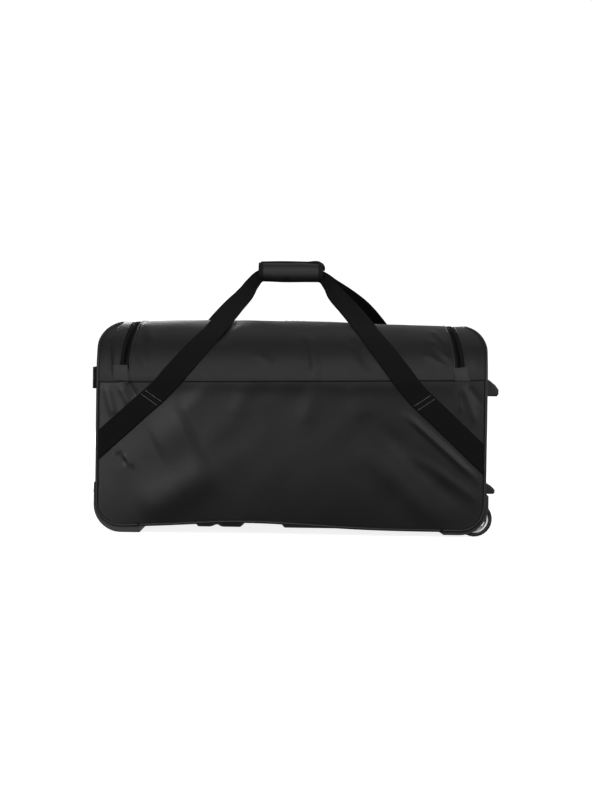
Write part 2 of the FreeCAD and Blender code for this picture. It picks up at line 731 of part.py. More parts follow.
def grip_shell(name, side):
    # Half of the grip, above or below the tubes' plane, hollow for the release bar.
    owner = body(f"{name}_block", "0", "0", "tube_height")
    half = "(grip_high - grip_low) / 2"
    outline = sketch(owner, f"{name}_outline", "XZ_Plane", [
        ("grip_out", "0"), ("grip_in", "0"), ("grip_in", f"{side} * {half}"),
        ("grip_out", f"{side} * {half}")])
    block = pad(owner, outline, "2 * grip_half")

    def outside(edge):
        return runs_along("y")(edge) and abs(edge.CenterOfMass.z) > 1
    fillet(owner, block, "grip_round", outside)
    hollow = sketch(owner, f"{name}_hollow", "XZ_Plane", [
        ("hollow_out", f"-{side}"), ("hollow_in", f"-{side}"),
        ("hollow_in", f"{side} * hollow_tall / 2"), ("hollow_out", f"{side} * hollow_tall / 2")])
    pocket(owner, hollow, "2 * hollow_half")
    slot = sketch(owner, f"{name}_slot", "XZ_Plane", [
        ("grip_out - 2", f"-{side}"), ("hollow_out + 1", f"-{side}"),
        ("hollow_out + 1", f"{side} * (button_tall / 2 + slot_play)"),
        ("grip_out - 2", f"{side} * (button_tall / 2 + slot_play)")])
    pocket(owner, slot, "2 * (button_half + slot_play)")
    seats = [
        rod(f"{name}_seat_{n}", "x", "inner_od / 2", ("hollow_in - 1", "0"),
            (f"{way} * tube_side", "tube_height"))
        for n, way in enumerate((-1, 1))
    ]
    return keep(cut(f"{name}_bored", owner, *seats), name)


def release_button():
    # The thumb bar, its cross bar and the two push rods inside the inner tubes.
    thumb = box("release_thumb", ("grip_out - button_proud", "hollow_out + 1"),
                ("-button_half", "button_half"),
                ("tube_height - button_tall / 2", "tube_height + button_tall / 2"))
    cross = box("release_cross", ("hollow_out + slot_play", "hollow_out + slot_play + bar_deep"),
                ("-hollow_half + 1", "hollow_half - 1"),
                ("tube_height - bar_tall / 2", "tube_height + bar_tall / 2"))
    rods = [
        rod(f"release_rod_{n}", "x", "rod_od / 2", ("hollow_out + 1", "rod_end"),
            (f"{side} * tube_side", "tube_height"))
        for n, side in enumerate((-1, 1))
    ]
    return keep(join("release_button", thumb, cross, *rods))


inner_tubes()
lock_blocks()
lock_pins()
grip_shell("grip_upper", 1)
grip_shell("grip_lower", -1)
release_button()


# ---------------------------------------------------------------- inner frame
def cross_block(name, x, z, half):
    # A block across the bag that both outer tubes run into.
    owner = body(f"{name}_block", f"({x[0]} + {x[1]}) / 2")
    outline = sketch(owner, f"{name}_outline", "YZ_Plane", [
        (f"-({half})", z[0]), (half, z[0]), (half, z[1]), (f"-({half})", z[1])])
    pad(owner, outline, f"{x[1]} - ({x[0]})")
    holes = [
        rod(f"{name}_hole_{n}", "x", "outer_od / 2", (f"{x[0]} - 1",
            f"min({x[1]} + 1; outer_end)"), (f"{side} * tube_side", "tube_height"))
        for n, side in enumerate((-1, 1))
    ]
    return cut(f"{name}_bored", owner, *holes)


def floor_board():
    owner = body("floor_board", "(board_left + board_right) / 2", "0",
                 "board_low + board_thick / 2")
    half = "(board_right - board_left) / 2"
    outline = sketch(owner, "floor_board_outline", "XY_Plane", [
        (f"-{half}", "-board_half"), (half, "-board_half"), (half, "board_half"),
        (f"-{half}", "board_half")])
    plate = pad(owner, outline, "board_thick")
    fillet(owner, plate, "board_round", runs_along("z"))
    return keep(owner)


keep(cross_block("tube_bracket", ("bracket_start", "bracket_end"),
                 ("bracket_low", "board_low"), "bracket_half"), "tube_bracket")
saddle_floor = "body_low + fabric"
saddle_hollow = box("saddle_hollow", far, ("-saddle_gap", "saddle_gap"), (saddle_floor, "board_low"))
saddles = [
    cut(f"saddle_pair_{n}", cross_block(f"saddle_{n}", span, (saddle_floor, "board_low"),
                                        "saddle_half"), saddle_hollow)
    for n, span in enumerate((("saddle_one", "saddle_one_end"),
                              ("saddle_two", "saddle_two_end")))
]
keep(together("tube_saddles", *saddles))
floor_board()


# ---------------------------------------------------------------- wheels
def tyre(name, side):
    owner = body(name, "wheel_x", f"{side} * wheel_side", "wheel_radius")
    outline = sketch(owner, f"{name}_outline", "YZ_Plane", [
        ("-wheel_wide / 2", "rim_radius"), ("wheel_wide / 2", "rim_radius"),
        ("wheel_wide / 2", "wheel_radius"), ("-wheel_wide / 2", "wheel_radius")])
    ring = spin(owner, outline, "H_Axis")

    def tread(edge):
        return edge.Curve.TypeId == "Part::GeomCircle" and \
            abs(edge.Curve.Radius - size("wheel_radius")) < 0.01
    fillet(owner, ring, "tread_round", tread)
    return keep(owner)


def hub(name, side):
    # Rim, web with round openings and a bored boss.
    owner = body(name, "wheel_x", f"{side} * wheel_side", "wheel_radius")
    bore = "axle_radius + axle_play"
    outline = sketch(owner, f"{name}_outline", "YZ_Plane", [
        ("-hub_half", bore), ("hub_half", bore), ("hub_half", "hub_radius"),
        ("3", "hub_radius"), ("3", "rim_radius - 3"), ("hub_half - 1", "rim_radius - 3"),
        ("hub_half - 1", "rim_radius"), ("1 - hub_half", "rim_radius"),
        ("1 - hub_half", "rim_radius - 3"), ("-3", "rim_radius - 3"),
        ("-3", "hub_radius"), ("-hub_half", "hub_radius")])
    spin(owner, outline, "H_Axis")
    window = sketch(owner, f"{name}_window", "XZ_Plane", [
        ("-3", "hub_radius + 2"), ("3", "hub_radius + 2"), ("4", "rim_radius - 5"),
        ("-4", "rim_radius - 5")])
    opening = pocket(owner, window, "wheel_wide")
    around = owner.newObject("PartDesign::PolarPattern", f"{name}_windows")
    around.Originals = [opening]
    around.Axis = (outline, ["H_Axis"])
    around.Angle = 360
    bind(around, Occurrences="spoke_count")
    owner.Tip = around
    return keep(owner)


def axle(name, side):
    # A steel pin with two collars that keep the wheel in the middle of its slot.
    owner = body(name, "wheel_x", f"{side} * wheel_side", "wheel_radius")
    stop = "hub_half + drum_clear"
    far_stop = "drum_half - drum_wall"
    outline = sketch(owner, f"{name}_outline", "YZ_Plane", [
        ("-axle_half", "0"), ("-axle_half", "axle_radius"), (f"-({far_stop})", "axle_radius"),
        (f"-({far_stop})", "collar_radius"), (f"-({stop})", "collar_radius"),
        (f"-({stop})", "axle_radius"), (stop, "axle_radius"), (stop, "collar_radius"),
        (far_stop, "collar_radius"), (far_stop, "axle_radius"),
        ("axle_half", "axle_radius"), ("axle_half", "0")])
    spin(owner, outline, "H_Axis")
    return owner


for where, side in (("front", -1), ("rear", 1)):
    tyre(f"tyre_{where}", side)
    hub(f"hub_{where}", side)
keep(together("wheel_axles", *[axle(f"axle_{n}", side) for n, side in enumerate((-1, 1))]))


def housing():
    # A moulded corner shell over the fabric, and a drum within it in which the wheel
    # turns. The drum is open where the wheel reaches the floor and past the end.
    across = "(housing_outside + housing_inside) / 2"
    zone = body("housing_zone", "0", f"-{across}")
    ramp = "(housing_end - ramp_start) / housing_thick"
    outline = sketch(zone, "housing_zone_outline", "XZ_Plane", [
        (f"ramp_start - 3 * {ramp}", "body_low + 3"),
        (f"ramp_start + 12 * {ramp}", "body_low - 12"), ("body_len", "body_low - 12"),
        ("body_len", "housing_top"), (f"ramp_start - 3 * {ramp}", "housing_top")])
    pad(zone, outline, "housing_outside - housing_inside")
    shell = meet("housing_shell", skin(length_form, "housing_thick", "0"), zone)
    place_of = ("wheel_x", "wheel_radius")
    drum = rod("housing_drum", "y", "drum_outer",
               ("-wheel_side - drum_half", "-wheel_side + drum_half"), place_of)
    drum = meet("housing_drum_part", drum, length_form("housing_thick"))
    slot = rod("housing_slot", "y", "drum_inner",
               ("-wheel_side - drum_half + drum_wall", "-wheel_side + drum_half - drum_wall"),
               place_of)
    bore = rod("housing_bore", "y", "axle_radius + axle_play", deep, place_of)
    whole = join("housing_whole", shell, drum)
    return cut("housing_plain", whole, slot, bore)


def housing_rivets():
    end_face = "body_len / 2 + housing_thick"
    under_face = "body_low - housing_thick"
    found = []
    for n, across in enumerate(("-122", "-142")):
        found.append(rivet(f"end_rivet_{n}", "x", end_face, -1, (across, "housing_top - 8")))
        found.append(rivet(f"under_rivet_{n}", "z", under_face, 1, ("housing_end + 8", across)))
    return found


rivets = housing_rivets()
front_housing = keep(cut("wheel_housing_front", housing(), *rivets))
keep(mirrored("wheel_housing_rear", front_housing))
front_rivets = together("front_rivets", *rivets)
keep(together("housing_rivets", front_rivets, mirrored("rear_rivets", front_rivets)))


# ---------------------------------------------------------------- feet
def foot(name, level, side):
    # A moulded foot with a sloping top; the bag stands on four of them, wheels up off
    # the floor, when it is stood on its end.
    owner = body(name, "body_len / 2", f"{side} * foot_side", f"{level}_foot_low")
    out = f"{level}_foot_out"
    tall = f"{level}_foot_tall"
    outline = sketch(owner, f"{name}_outline", "XZ_Plane", [
        ("0", "0"), ("0", tall), (f"0.38 * {out}", f"0.85 * {tall}"),
        (f"0.77 * {out}", f"0.6 * {tall}"), (out, f"0.36 * {tall}"),
        (out, f"0.12 * {tall}"), (f"0.88 * {out}", "0")])
    block = pad(owner, outline, "foot_wide")

    def side_edge(edge):
        return abs(edge.CenterOfMass.x) > 1 and not runs_along("y")(edge)
    fillet(owner, block, "foot_round", side_edge)
    return keep(owner)


for level in ("upper", "lower"):
    for where, side in (("front", -1), ("rear", 1)):
        foot(f"{level}_foot_{where}", level, side)


# ---------------------------------------------------------------- check and write
doc.recompute()
failed = [item.Name for item in doc.Objects
          if "Invalid" in item.State or "Error" in item.State]
if failed:
    raise RuntimeError(f"objects failed to build: {failed}")
for item in subparts:
    if item.Shape.isNull() or not item.Shape.isValid() or item.Shape.Volume <= 0:
        raise RuntimeError(f"bad shape: {item.Label}")
for item in subparts:
    item.Shape.exportStep(os.path.join("parts", f"{item.Label}.step"))
    extent = item.Shape.BoundBox
    print(f"{item.Label:24s} {len(item.Shape.Solids)} solids {item.Shape.Volume / 1000:9.1f} cm3 "
          f"x {extent.XMin:.1f} {extent.XMax:.1f} y {extent.YMin:.1f} {extent.YMax:.1f} "
          f"z {extent.ZMin:.1f} {extent.ZMax:.1f}")
print(len(subparts), "sub-parts")
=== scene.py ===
import math
import bpy
import numpy as np
from mathutils import Matrix, Vector


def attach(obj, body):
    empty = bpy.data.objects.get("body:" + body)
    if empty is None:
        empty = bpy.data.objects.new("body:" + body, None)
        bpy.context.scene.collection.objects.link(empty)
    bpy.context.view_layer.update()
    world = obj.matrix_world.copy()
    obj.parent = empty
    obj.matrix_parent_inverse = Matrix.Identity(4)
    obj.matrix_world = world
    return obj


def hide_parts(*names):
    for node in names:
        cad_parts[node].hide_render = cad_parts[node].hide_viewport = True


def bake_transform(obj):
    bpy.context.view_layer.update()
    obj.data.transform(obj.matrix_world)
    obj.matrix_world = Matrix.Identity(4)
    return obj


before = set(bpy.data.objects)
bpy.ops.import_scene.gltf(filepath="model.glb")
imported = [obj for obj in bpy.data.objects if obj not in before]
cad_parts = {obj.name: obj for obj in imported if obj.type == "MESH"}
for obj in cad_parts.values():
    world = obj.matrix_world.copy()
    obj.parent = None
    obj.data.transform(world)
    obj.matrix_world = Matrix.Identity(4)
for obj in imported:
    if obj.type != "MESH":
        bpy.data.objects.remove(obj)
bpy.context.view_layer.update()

print("frame loaded:", len(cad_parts), "nodes")


# Mesh making: a shape is an array of points, and faces are arrays of their numbers.

def meshObject(name, points, faceSets, finish, uv=None, crisp=None):
    # Unused points are dropped. A closed form's volume is the sum of a . (b x c) / 6 over its
    # triangles; where it comes out negative, every face is turned round.
    points = np.asarray(points, float).reshape(-1, 3)
    middle = points.mean(0)
    volume = 0.0
    for faces in faceSets:
        corner = points[faces] - middle
        for n in range(1, faces.shape[1] - 1):
            volume += np.einsum("ij,ij->", corner[:, 0], np.cross(corner[:, n], corner[:, n + 1]))
    if volume < 0:
        faceSets = [faces[:, ::-1] for faces in faceSets]
    used = np.unique(np.concatenate([faces.ravel() for faces in faceSets]))
    place = np.zeros(len(points), int)
    place[used] = np.arange(len(used))
    faceSets = [place[faces] for faces in faceSets]
    mesh = bpy.data.meshes.new(name)
    mesh.from_pydata(points[used].tolist(), [], [f for faces in faceSets for f in faces.tolist()])
    if uv is not None:
        layer = mesh.uv_layers.new(name="cloth")
        flat = np.asarray(uv, float).reshape(-1, 2)[used]
        corners = np.empty(len(mesh.loops), int)
        mesh.loops.foreach_get("vertex_index", corners)
        layer.data.foreach_set("uv", flat[corners].ravel())
    mesh.polygons.foreach_set("use_smooth", [True] * len(mesh.polygons))
    if crisp:
        mesh.set_sharp_from_angle(angle=math.radians(crisp))
    mesh.materials.append(finish)
    piece = bpy.data.objects.new(name, mesh)
    bpy.context.scene.collection.objects.link(piece)
    return piece


def gridQuads(rows, cols, wrapRows=False, wrapCols=False):
    # Four corners of each cell of a grid, counted row by row.
    r, c = spread(np.arange(rows - (not wrapRows)), np.arange(cols - (not wrapCols)))
    nextR, nextC = (r + 1) % rows, (c + 1) % cols
    return np.stack([r * cols + c, nextR * cols + c, nextR * cols + nextC, r * cols + nextC],
                    -1).reshape(-1, 4)


def shell(name, outer, inner, finish, uv=None, keep=None, crisp=None):
    # Cloth with a thickness: an outer and an inner grid, and rims wherever a kept cell has no
    # kept neighbour.
    rows, cols = outer.shape[:2]
    keep = np.ones((rows - 1, cols - 1), bool) if keep is None else keep
    quads = gridQuads(rows, cols).reshape(rows - 1, cols - 1, 4)
    count = rows * cols
    faces = [quads[keep], quads[keep][:, ::-1] + count]
    framed = np.pad(keep, 1)
    steps = ((0, 1, 0, -1), (1, 2, 1, 0), (2, 3, 0, 1), (3, 0, -1, 0))
    for start, end, down, right in steps:
        beside = framed[1 + down:rows + down, 1 + right:cols + right]
        edge = quads[keep & ~beside][:, [end, start]]
        faces.append(np.concatenate([edge, edge[:, ::-1] + count], 1))
    points = np.concatenate([outer.reshape(-1, 3), inner.reshape(-1, 3)])
    if uv is not None:
        uv = np.concatenate([uv.reshape(-1, 2)] * 2)
    return meshObject(name, points, faces, finish, uv, crisp)


def along(path):
    # The distance run at each point of a line, from 0 at its start.
    return np.r_[0, np.cumsum(np.linalg.norm(np.diff(path, axis=0), axis=1))]


def spread(first, second):
    # Two values over a grid, the first down the rows and the second across the columns.
    return np.meshgrid(first, second, indexing="ij")


def stacked(*parts):
    # Coordinates over a grid, joined into points.
    return np.stack(np.broadcast_arrays(*parts), -1)


def settled(piece, nodes=(), body="bag"):
    # What a finished piece rides on, and the nodes it stands in for.
    if body:
        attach(piece, body)
    if nodes:
        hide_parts(*nodes)


def unit(vectors):
    return vectors / np.maximum(np.linalg.norm(vectors, axis=-1, keepdims=True), 1e-12)


def sweep(name, path, profile, up, finish, closed=False, scale=None, crisp=None):
    # A closed profile of (across, up) carried along a path; up is squared off against the
    # path's heading at each stop, and open ends are capped with fans.
    path = np.asarray(path, float)
    heading = unit(np.roll(path, -1, 0) - np.roll(path, 1, 0) if closed
                   else np.gradient(path, axis=0))
    across = unit(np.cross(heading, np.broadcast_to(up, path.shape)))
    lift = np.cross(across, heading)
    size = np.ones(len(path)) if scale is None else np.asarray(scale, float)
    rings = (path[:, None] + across[:, None] * (profile[None, :, :1] * size[:, None, None])
             + lift[:, None] * (profile[None, :, 1:] * size[:, None, None]))
    rows, cols = rings.shape[:2]
    points = rings.reshape(-1, 3)
    faces = [gridQuads(rows, cols, closed, True)]
    around = np.arange(cols)
    if not closed:
        points = np.concatenate([points, path[:1], path[-1:]])
        first, last = rows * cols, rows * cols + 1
        near = np.stack([around, (around + 1) % cols, np.full(cols, first)], 1)
        away = np.stack([(around + 1) % cols, around, np.full(cols, last - (rows - 1) * cols)],
                        1) + (rows - 1) * cols
        faces += [near, away]
    spots = along(path)
    turn = np.broadcast_to(np.linspace(0, 1, cols), (rows, cols))
    uv = np.stack([np.broadcast_to(spots[:, None], (rows, cols)), turn * 0.02], -1).reshape(-1, 2)
    uv = np.concatenate([uv, np.zeros((len(points) - len(uv), 2))])
    return meshObject(name, points, faces, finish, uv, crisp)


def circle(radius, sides, squash=1.0):
    # A round or flattened section: (r cos t, squash r sin t).
    turn = np.linspace(0, 2 * math.pi, sides, endpoint=False)
    return np.stack([radius * np.cos(turn), radius * squash * np.sin(turn)], 1)


def strew(name, shape, faces, spots, ahead, up, finish, crisp=None):
    # One small shape repeated: its x goes ahead, its y across and its z up at every spot.
    ahead = unit(ahead)
    across = unit(np.cross(up, ahead))
    rise = np.cross(ahead, across)
    points = (spots[:, None] + ahead[:, None] * shape[None, :, :1]
              + across[:, None] * shape[None, :, 1:2] + rise[:, None] * shape[None, :, 2:])
    shift = np.arange(len(spots))[:, None, None] * len(shape)
    return meshObject(name, points, [(faces[None] + shift).reshape(-1, faces.shape[1])],
                      finish, crisp=crisp)


def pillow(long, wide, tall):
    # A small eight-sided bead, narrower at its ends: three rings of four and two end faces.
    ring = np.array([[-1, 0], [0, 1], [1, 0], [0, -1]]) * 0.5
    parts = [np.c_[np.full(4, x * long), ring[:, 0] * wide * k, ring[:, 1] * tall * k]
             for x, k in ((-0.5, 0.5), (-0.25, 1), (0.25, 1), (0.5, 0.5))]
    faces = np.concatenate([gridQuads(4, 4, False, True),
                            [[3, 2, 1, 0], [12, 13, 14, 15]]])
    return np.concatenate(parts), faces


def block(long, wide, tall, taper=0.8):
    # A tooth: a box whose top is smaller than its foot by the taper.
    foot = np.array([[-1, -1], [1, -1], [1, 1], [-1, 1]]) * 0.5
    low = np.c_[foot[:, 0] * long, foot[:, 1] * wide, np.zeros(4)]
    high = np.c_[foot[:, 0] * long * taper, foot[:, 1] * wide * taper, np.full(4, tall)]
    faces = np.array([[0, 1, 5, 4], [1, 2, 6, 5], [2, 3, 7, 6], [3, 0, 4, 7], [3, 2, 1, 0],
                      [4, 5, 6, 7]])
    return np.concatenate([low, high]), faces


def throughStops(stops, count):
    # A smooth curve through the stops, sampled evenly: between two stops it is the cubic with
    # the slopes of the neighbouring chords. The first three columns are the place.
    stops = np.asarray(stops, float)
    dims = min(3, stops.shape[1])
    knots = along(stops[:, :dims])
    slopes = np.gradient(stops, knots, axis=0)
    at = np.linspace(0, knots[-1], count)
    n = np.clip(np.searchsorted(knots, at, side="right") - 1, 0, len(knots) - 2)
    span = (knots[n + 1] - knots[n])[:, None]
    t = ((at - knots[n])[:, None]) / span
    return (stops[n] * (2 * t**3 - 3 * t**2 + 1) + slopes[n] * span * (t**3 - 2 * t**2 + t)
            + stops[n + 1] * (3 * t**2 - 2 * t**3) + slopes[n + 1] * span * (t**3 - t**2))


def eased(t):
    # From 0 to 1 with level ends: 3 t^2 - 2 t^3.
    t = np.clip(t, 0, 1)
    return t * t * (3 - 2 * t)


# Shader maths as expressions.

class Strand:
    # A number that changes over a surface; each operator adds its Math node.
    def __init__(self, finish, socket):
        self.finish, self.socket = finish, socket

    def joined(self, operation, first, second=None):
        inputs = {0: first} if second is None else {0: first, 1: second}
        return self.finish.add("ShaderNodeMath", {"operation": operation}, inputs)

    def __add__(self, other):
        return self.joined("ADD", self, other)

    def __radd__(self, other):
        return self.joined("ADD", other, self)

    def __sub__(self, other):
        return self.joined("SUBTRACT", self, other)

    def __rsub__(self, other):
        return self.joined("SUBTRACT", other, self)

    def __mul__(self, other):
        return self.joined("MULTIPLY", self, other)

    def __rmul__(self, other):
        return self.joined("MULTIPLY", other, self)

    def __truediv__(self, other):
        return self.joined("DIVIDE", self, other)

    def sine(self):
        return self.joined("SINE", self)

    def size(self):
        return self.joined("ABSOLUTE", self)

    def part(self):
        return self.joined("FRACT", self)

    def above(self, edge):
        return self.joined("GREATER_THAN", self, edge)

    def larger(self, other):
        return self.joined("MAXIMUM", self, other)


class Finish:
    # One material: its node tree, and the few ways in which nodes are added to it.
    def __init__(self, name, roughness=0.5, gloss=0.5, metallic=0.0, sheen=0.0):
        self.material = bpy.data.materials.new(name)
        self.material.use_nodes = True
        self.tree = self.material.node_tree
        self.shader = self.tree.nodes["Principled BSDF"]
        self.feed(self.shader.inputs["Roughness"], roughness)
        self.feed(self.shader.inputs["Specular IOR Level"], gloss)
        self.feed(self.shader.inputs["Metallic"], metallic)
        self.feed(self.shader.inputs["Sheen Weight"], sheen)
        self.feed(self.shader.inputs["Sheen Roughness"], 0.4)

    def feed(self, socket, value):
        if isinstance(value, Strand):
            self.tree.links.new(value.socket, socket)
        else:
            socket.default_value = value

    def add(self, kind, settings, inputs, out=0):
        node = self.tree.nodes.new(kind)
        for word, value in settings.items():
            if word == "stops":
                node.color_ramp.elements[0].position, node.color_ramp.elements[1].position = value
            else:
                setattr(node, word, value)
        for key, value in inputs.items():
            self.feed(node.inputs[key], value)
        return Strand(self, node.outputs[out])

    def uv(self):
        return self.add("ShaderNodeUVMap", {"uv_map": "cloth"}, {})

    def place(self):
        return self.add("ShaderNodeTexCoord", {}, {}, "Object")

    def axes(self, vector):
        return [self.add("ShaderNodeSeparateXYZ", {}, {0: vector}, n) for n in range(3)]

    def noise(self, vector, scale, detail=2.0, roughness=0.5):
        return self.add("ShaderNodeTexNoise", {}, {"Vector": vector, "Scale": scale,
                                                  "Detail": detail, "Roughness": roughness})

    def cells(self, vector, scale):
        return self.add("ShaderNodeTexVoronoi", {}, {"Vector": vector, "Scale": scale})

    def colour(self, amount, low, high):
        # A colour between two, by an amount from 0 to 1.
        return self.add("ShaderNodeMix", {"data_type": "RGBA"},
                        {0: amount, 6: (*low, 1), 7: (*high, 1)}, 2)

    def finished(self, colour, height=None, strength=0.3, deep=0.0004, roughness=None):
        self.feed(self.shader.inputs["Base Color"],
                  colour if isinstance(colour, Strand) else (*colour, 1))
        if roughness is not None:
            self.feed(self.shader.inputs["Roughness"], roughness)
        if height is not None:
            self.feed(self.shader.inputs["Normal"], self.add(
                "ShaderNodeBump", {}, {"Strength": strength, "Distance": deep, "Height": height}))
        return self.material


def grey(level, warm=0.0):
    # A grey given as it looks on a screen, from 0 to 255, made linear; warm tips it to brown.
    value = (level / 255) ** 2.2
    return (value * (1 + warm), value, value * (1 - warm))


def clothFinish(name, light, dark, pitch, rough, gloss, relief, sheen=0.0, coat=0.0):
    # Plain weave: sin(u) sin(v) makes warp and weft cross over; slow noise makes the coating a
    # little uneven in tone and roughness, and fine noise roughens the yarn.
    finish = Finish(name, rough, gloss, 0.0, sheen)
    uv = finish.uv()
    u, v, _ = finish.axes(uv)
    weave = (u * (math.pi / pitch)).sine() * (v * (math.pi / pitch)).sine()
    cloud = finish.noise(uv, 9.0, 3.0)
    speck = finish.noise(uv, 900.0, 2.0)
    tone = cloud * 0.75 + speck * 0.25
    height = weave * 0.5 + speck * 0.35
    return finish.finished(finish.colour(tone, dark, light), height, relief, 0.0004,
                           rough - 0.06 + cloud * 0.12)


def webbingFinish():
    # Webbing: ribs along its length, each crossed by slanting picks, and a flatter selvedge.
    finish = Finish("webbingFinish", 0.75, 0.10, 0.0, 0.0)
    u, v, _ = finish.axes(finish.uv())
    rib = (v * (math.pi / 0.0019)).sine().size()
    pick = ((u + v * 0.8) * (2 * math.pi / 0.0022)).sine()
    selvedge = v.size().above(0.0172)
    fuzz = finish.noise(finish.uv(), 700.0, 2.0)
    height = rib * (1 - selvedge * 0.6) + pick * 0.35 + fuzz * 0.3
    # The colour follows the ribs, lighter on their crests and darker in the grooves between them,
    # which is painted shade in the grooves; the fuzz adds tone that differs at random.
    tone = rib * 0.45 + fuzz * 0.55
    return finish.finished(finish.colour(tone, grey(10), grey(20)), height, 0.55, 0.0006)


def mouldedFinish(name, light, dark, rough, gloss, grain=1500.0, relief=0.12):
    # Moulded plastic: a fine leathery grain from cell distances plus scuffs, tone and
    # roughness from two noises, and edges that catch the light through a shading bevel.
    finish = Finish(name, rough, gloss)
    place = finish.place()
    cell = finish.cells(place, grain)
    cloud = finish.noise(place, 14.0, 3.0)
    scuff = finish.noise(place, 90.0, 4.0, 0.7)
    edge = finish.add("ShaderNodeBevel", {"samples": 4}, {"Radius": 0.0012})
    bump = finish.add("ShaderNodeBump", {}, {"Strength": relief, "Distance": 0.0003,
                                             "Height": cell + scuff * 0.4, "Normal": edge})
    finish.feed(finish.shader.inputs["Normal"], bump)
    return finish.finished(finish.colour(cloud * 0.6 + scuff * 0.4, dark, light),
                           roughness=rough - 0.08 + scuff * 0.18)


def metalFinish(name, light, dark, rough, stretch):
    # Metal with fine drawing lines: noise that is stretched along the drawing direction.
    finish = Finish(name, rough, 0.5, 1.0)
    place = finish.place()
    drawn = finish.add("ShaderNodeMapping", {}, {"Vector": place, "Scale": stretch})
    line = finish.noise(drawn, 60.0, 4.0, 0.6)
    cloud = finish.noise(place, 20.0, 2.0)
    return finish.finished(finish.colour(cloud * 0.5 + line * 0.5, dark, light), line, 0.05,
                           0.0002, rough - 0.08 + line * 0.16)


finishes = {
    "coated": clothFinish("coatedCloth", grey(20), grey(13), 0.0006, 0.40, 0.22, 0.10),
    "woven": clothFinish("wovenCloth", grey(22), grey(15), 0.0009, 0.48, 0.20, 0.20),
    "pad": clothFinish("padCloth", grey(31), grey(23), 0.0007, 0.48, 0.22, 0.15),
    "binding": clothFinish("bindingTape", grey(19), grey(12), 0.0011, 0.70, 0.15, 0.35),
    "tape": clothFinish("zipTape", grey(15, 0.08), grey(9, 0.08), 0.0010, 0.75, 0.15, 0.45),
    "tab": clothFinish("tabCloth", grey(56), grey(42), 0.0012, 0.75, 0.20, 0.45),
    "webbing": webbingFinish(),
    "piping": mouldedFinish("pipingVinyl", grey(22), grey(13), 0.42, 0.30, 2600.0, 0.05),
    "lidCord": mouldedFinish("lidCord", grey(40), grey(30), 0.5, 0.3, 2600.0, 0.05),
    "thread": mouldedFinish("paleThread", grey(150), grey(110), 0.7, 0.2, 4000.0, 0.3),
    "tabThread": mouldedFinish("tabThread", grey(78), grey(60), 0.7, 0.2, 4000.0, 0.3),
    "moulding": mouldedFinish("cornerPlastic", grey(25), grey(17), 0.42, 0.40),
    "frame": mouldedFinish("framePlastic", grey(30), grey(22), 0.5, 0.4, 900.0),
    "grip": mouldedFinish("gripPlastic", grey(36), grey(26), 0.38, 0.45, 2200.0),
    "board": mouldedFinish("boardPlastic", grey(46), grey(34), 0.6, 0.3, 500.0, 0.2),
    "tyre": mouldedFinish("tyreRubber", grey(30), grey(20), 0.62, 0.30, 1200.0, 0.2),
    "hub": mouldedFinish("hubPlastic", grey(214), grey(196), 0.35, 0.5, 1500.0, 0.03),
    "teeth": mouldedFinish("zipTeeth", grey(17, 0.06), grey(11, 0.06), 0.7, 0.1, 3000.0, 0.05),
    "slider": metalFinish("sliderMetal", grey(70), grey(44), 0.35, (1, 1, 1)),
    "tube": metalFinish("tubeMetal", grey(196), grey(170), 0.30, (0.02, 1, 1)),
    "steel": metalFinish("steelMetal", grey(180), grey(140), 0.32, (1, 0.05, 1)),
}
print("finishes made:", len(finishes))


# The bag's skin: x runs along the bag, s up the front wall, over the top and down the rear.

skin = {"halfLong": 0.334, "low": 0.011, "top": 0.362, "endRound": 0.042, "halfDeep": 0.185,
        "shoulder": 0.095, "seam": 0.264, "topEnd": 0.300, "cloth": 0.0016}
wallLong = skin["top"] - skin["shoulder"] - skin["low"]
arcLong = math.pi / 2 * skin["shoulder"]
flatHalf = skin["halfDeep"] - skin["shoulder"]
girthLong = 2 * (wallLong + arcLong + flatHalf)
seamAt = skin["seam"] - skin["low"]


def girthPoint(x, s, lift=0.0):
    # Up the front wall by s, round the shoulder by s / radius, over the flat top, round the
    # rear shoulder and down; lift goes out along the normal (0, -cos turn, sin turn).
    r = skin["shoulder"]
    front = np.clip((s - wallLong) / r, 0, math.pi / 2)
    rear = np.clip((s - girthLong + wallLong) / r + math.pi / 2, 0, math.pi / 2)
    turn = front + rear
    y = -flatHalf - r * np.cos(front) + np.clip(s - wallLong - arcLong, 0, 2 * flatHalf) \
        + r * np.sin(rear) - lift * np.cos(turn)
    z = skin["low"] + np.minimum(s, wallLong) + r * np.sin(front) - r * (1 - np.cos(rear)) \
        - np.clip(s - girthLong + wallLong, 0, None) + lift * np.sin(turn)
    return stacked(x, y, z)


def outlineHalf(z):
    # Half the bag's length at a height: the straight wall, less the rounded corners.
    r = skin["endRound"]
    drop = np.clip(np.maximum(skin["low"] + r - z, z - skin["top"] + r), 0, r)
    half = skin["halfLong"] - r + np.sqrt(r * r - drop * drop)
    return np.where(z > 0.2, np.maximum(half, skin["topEnd"]), half)


def sideHalf(z):
    # Half the bag's depth at a height.
    r = skin["shoulder"]
    drop = np.clip(z - skin["top"] + r, 0, r)
    return flatHalf + np.sqrt(r * r - drop * drop)


def bottomRise(x):
    # How much the front and rear bottom edges arch up off the floor.
    return 0.0105 * np.exp(-((x + 0.075) / 0.15) ** 2)


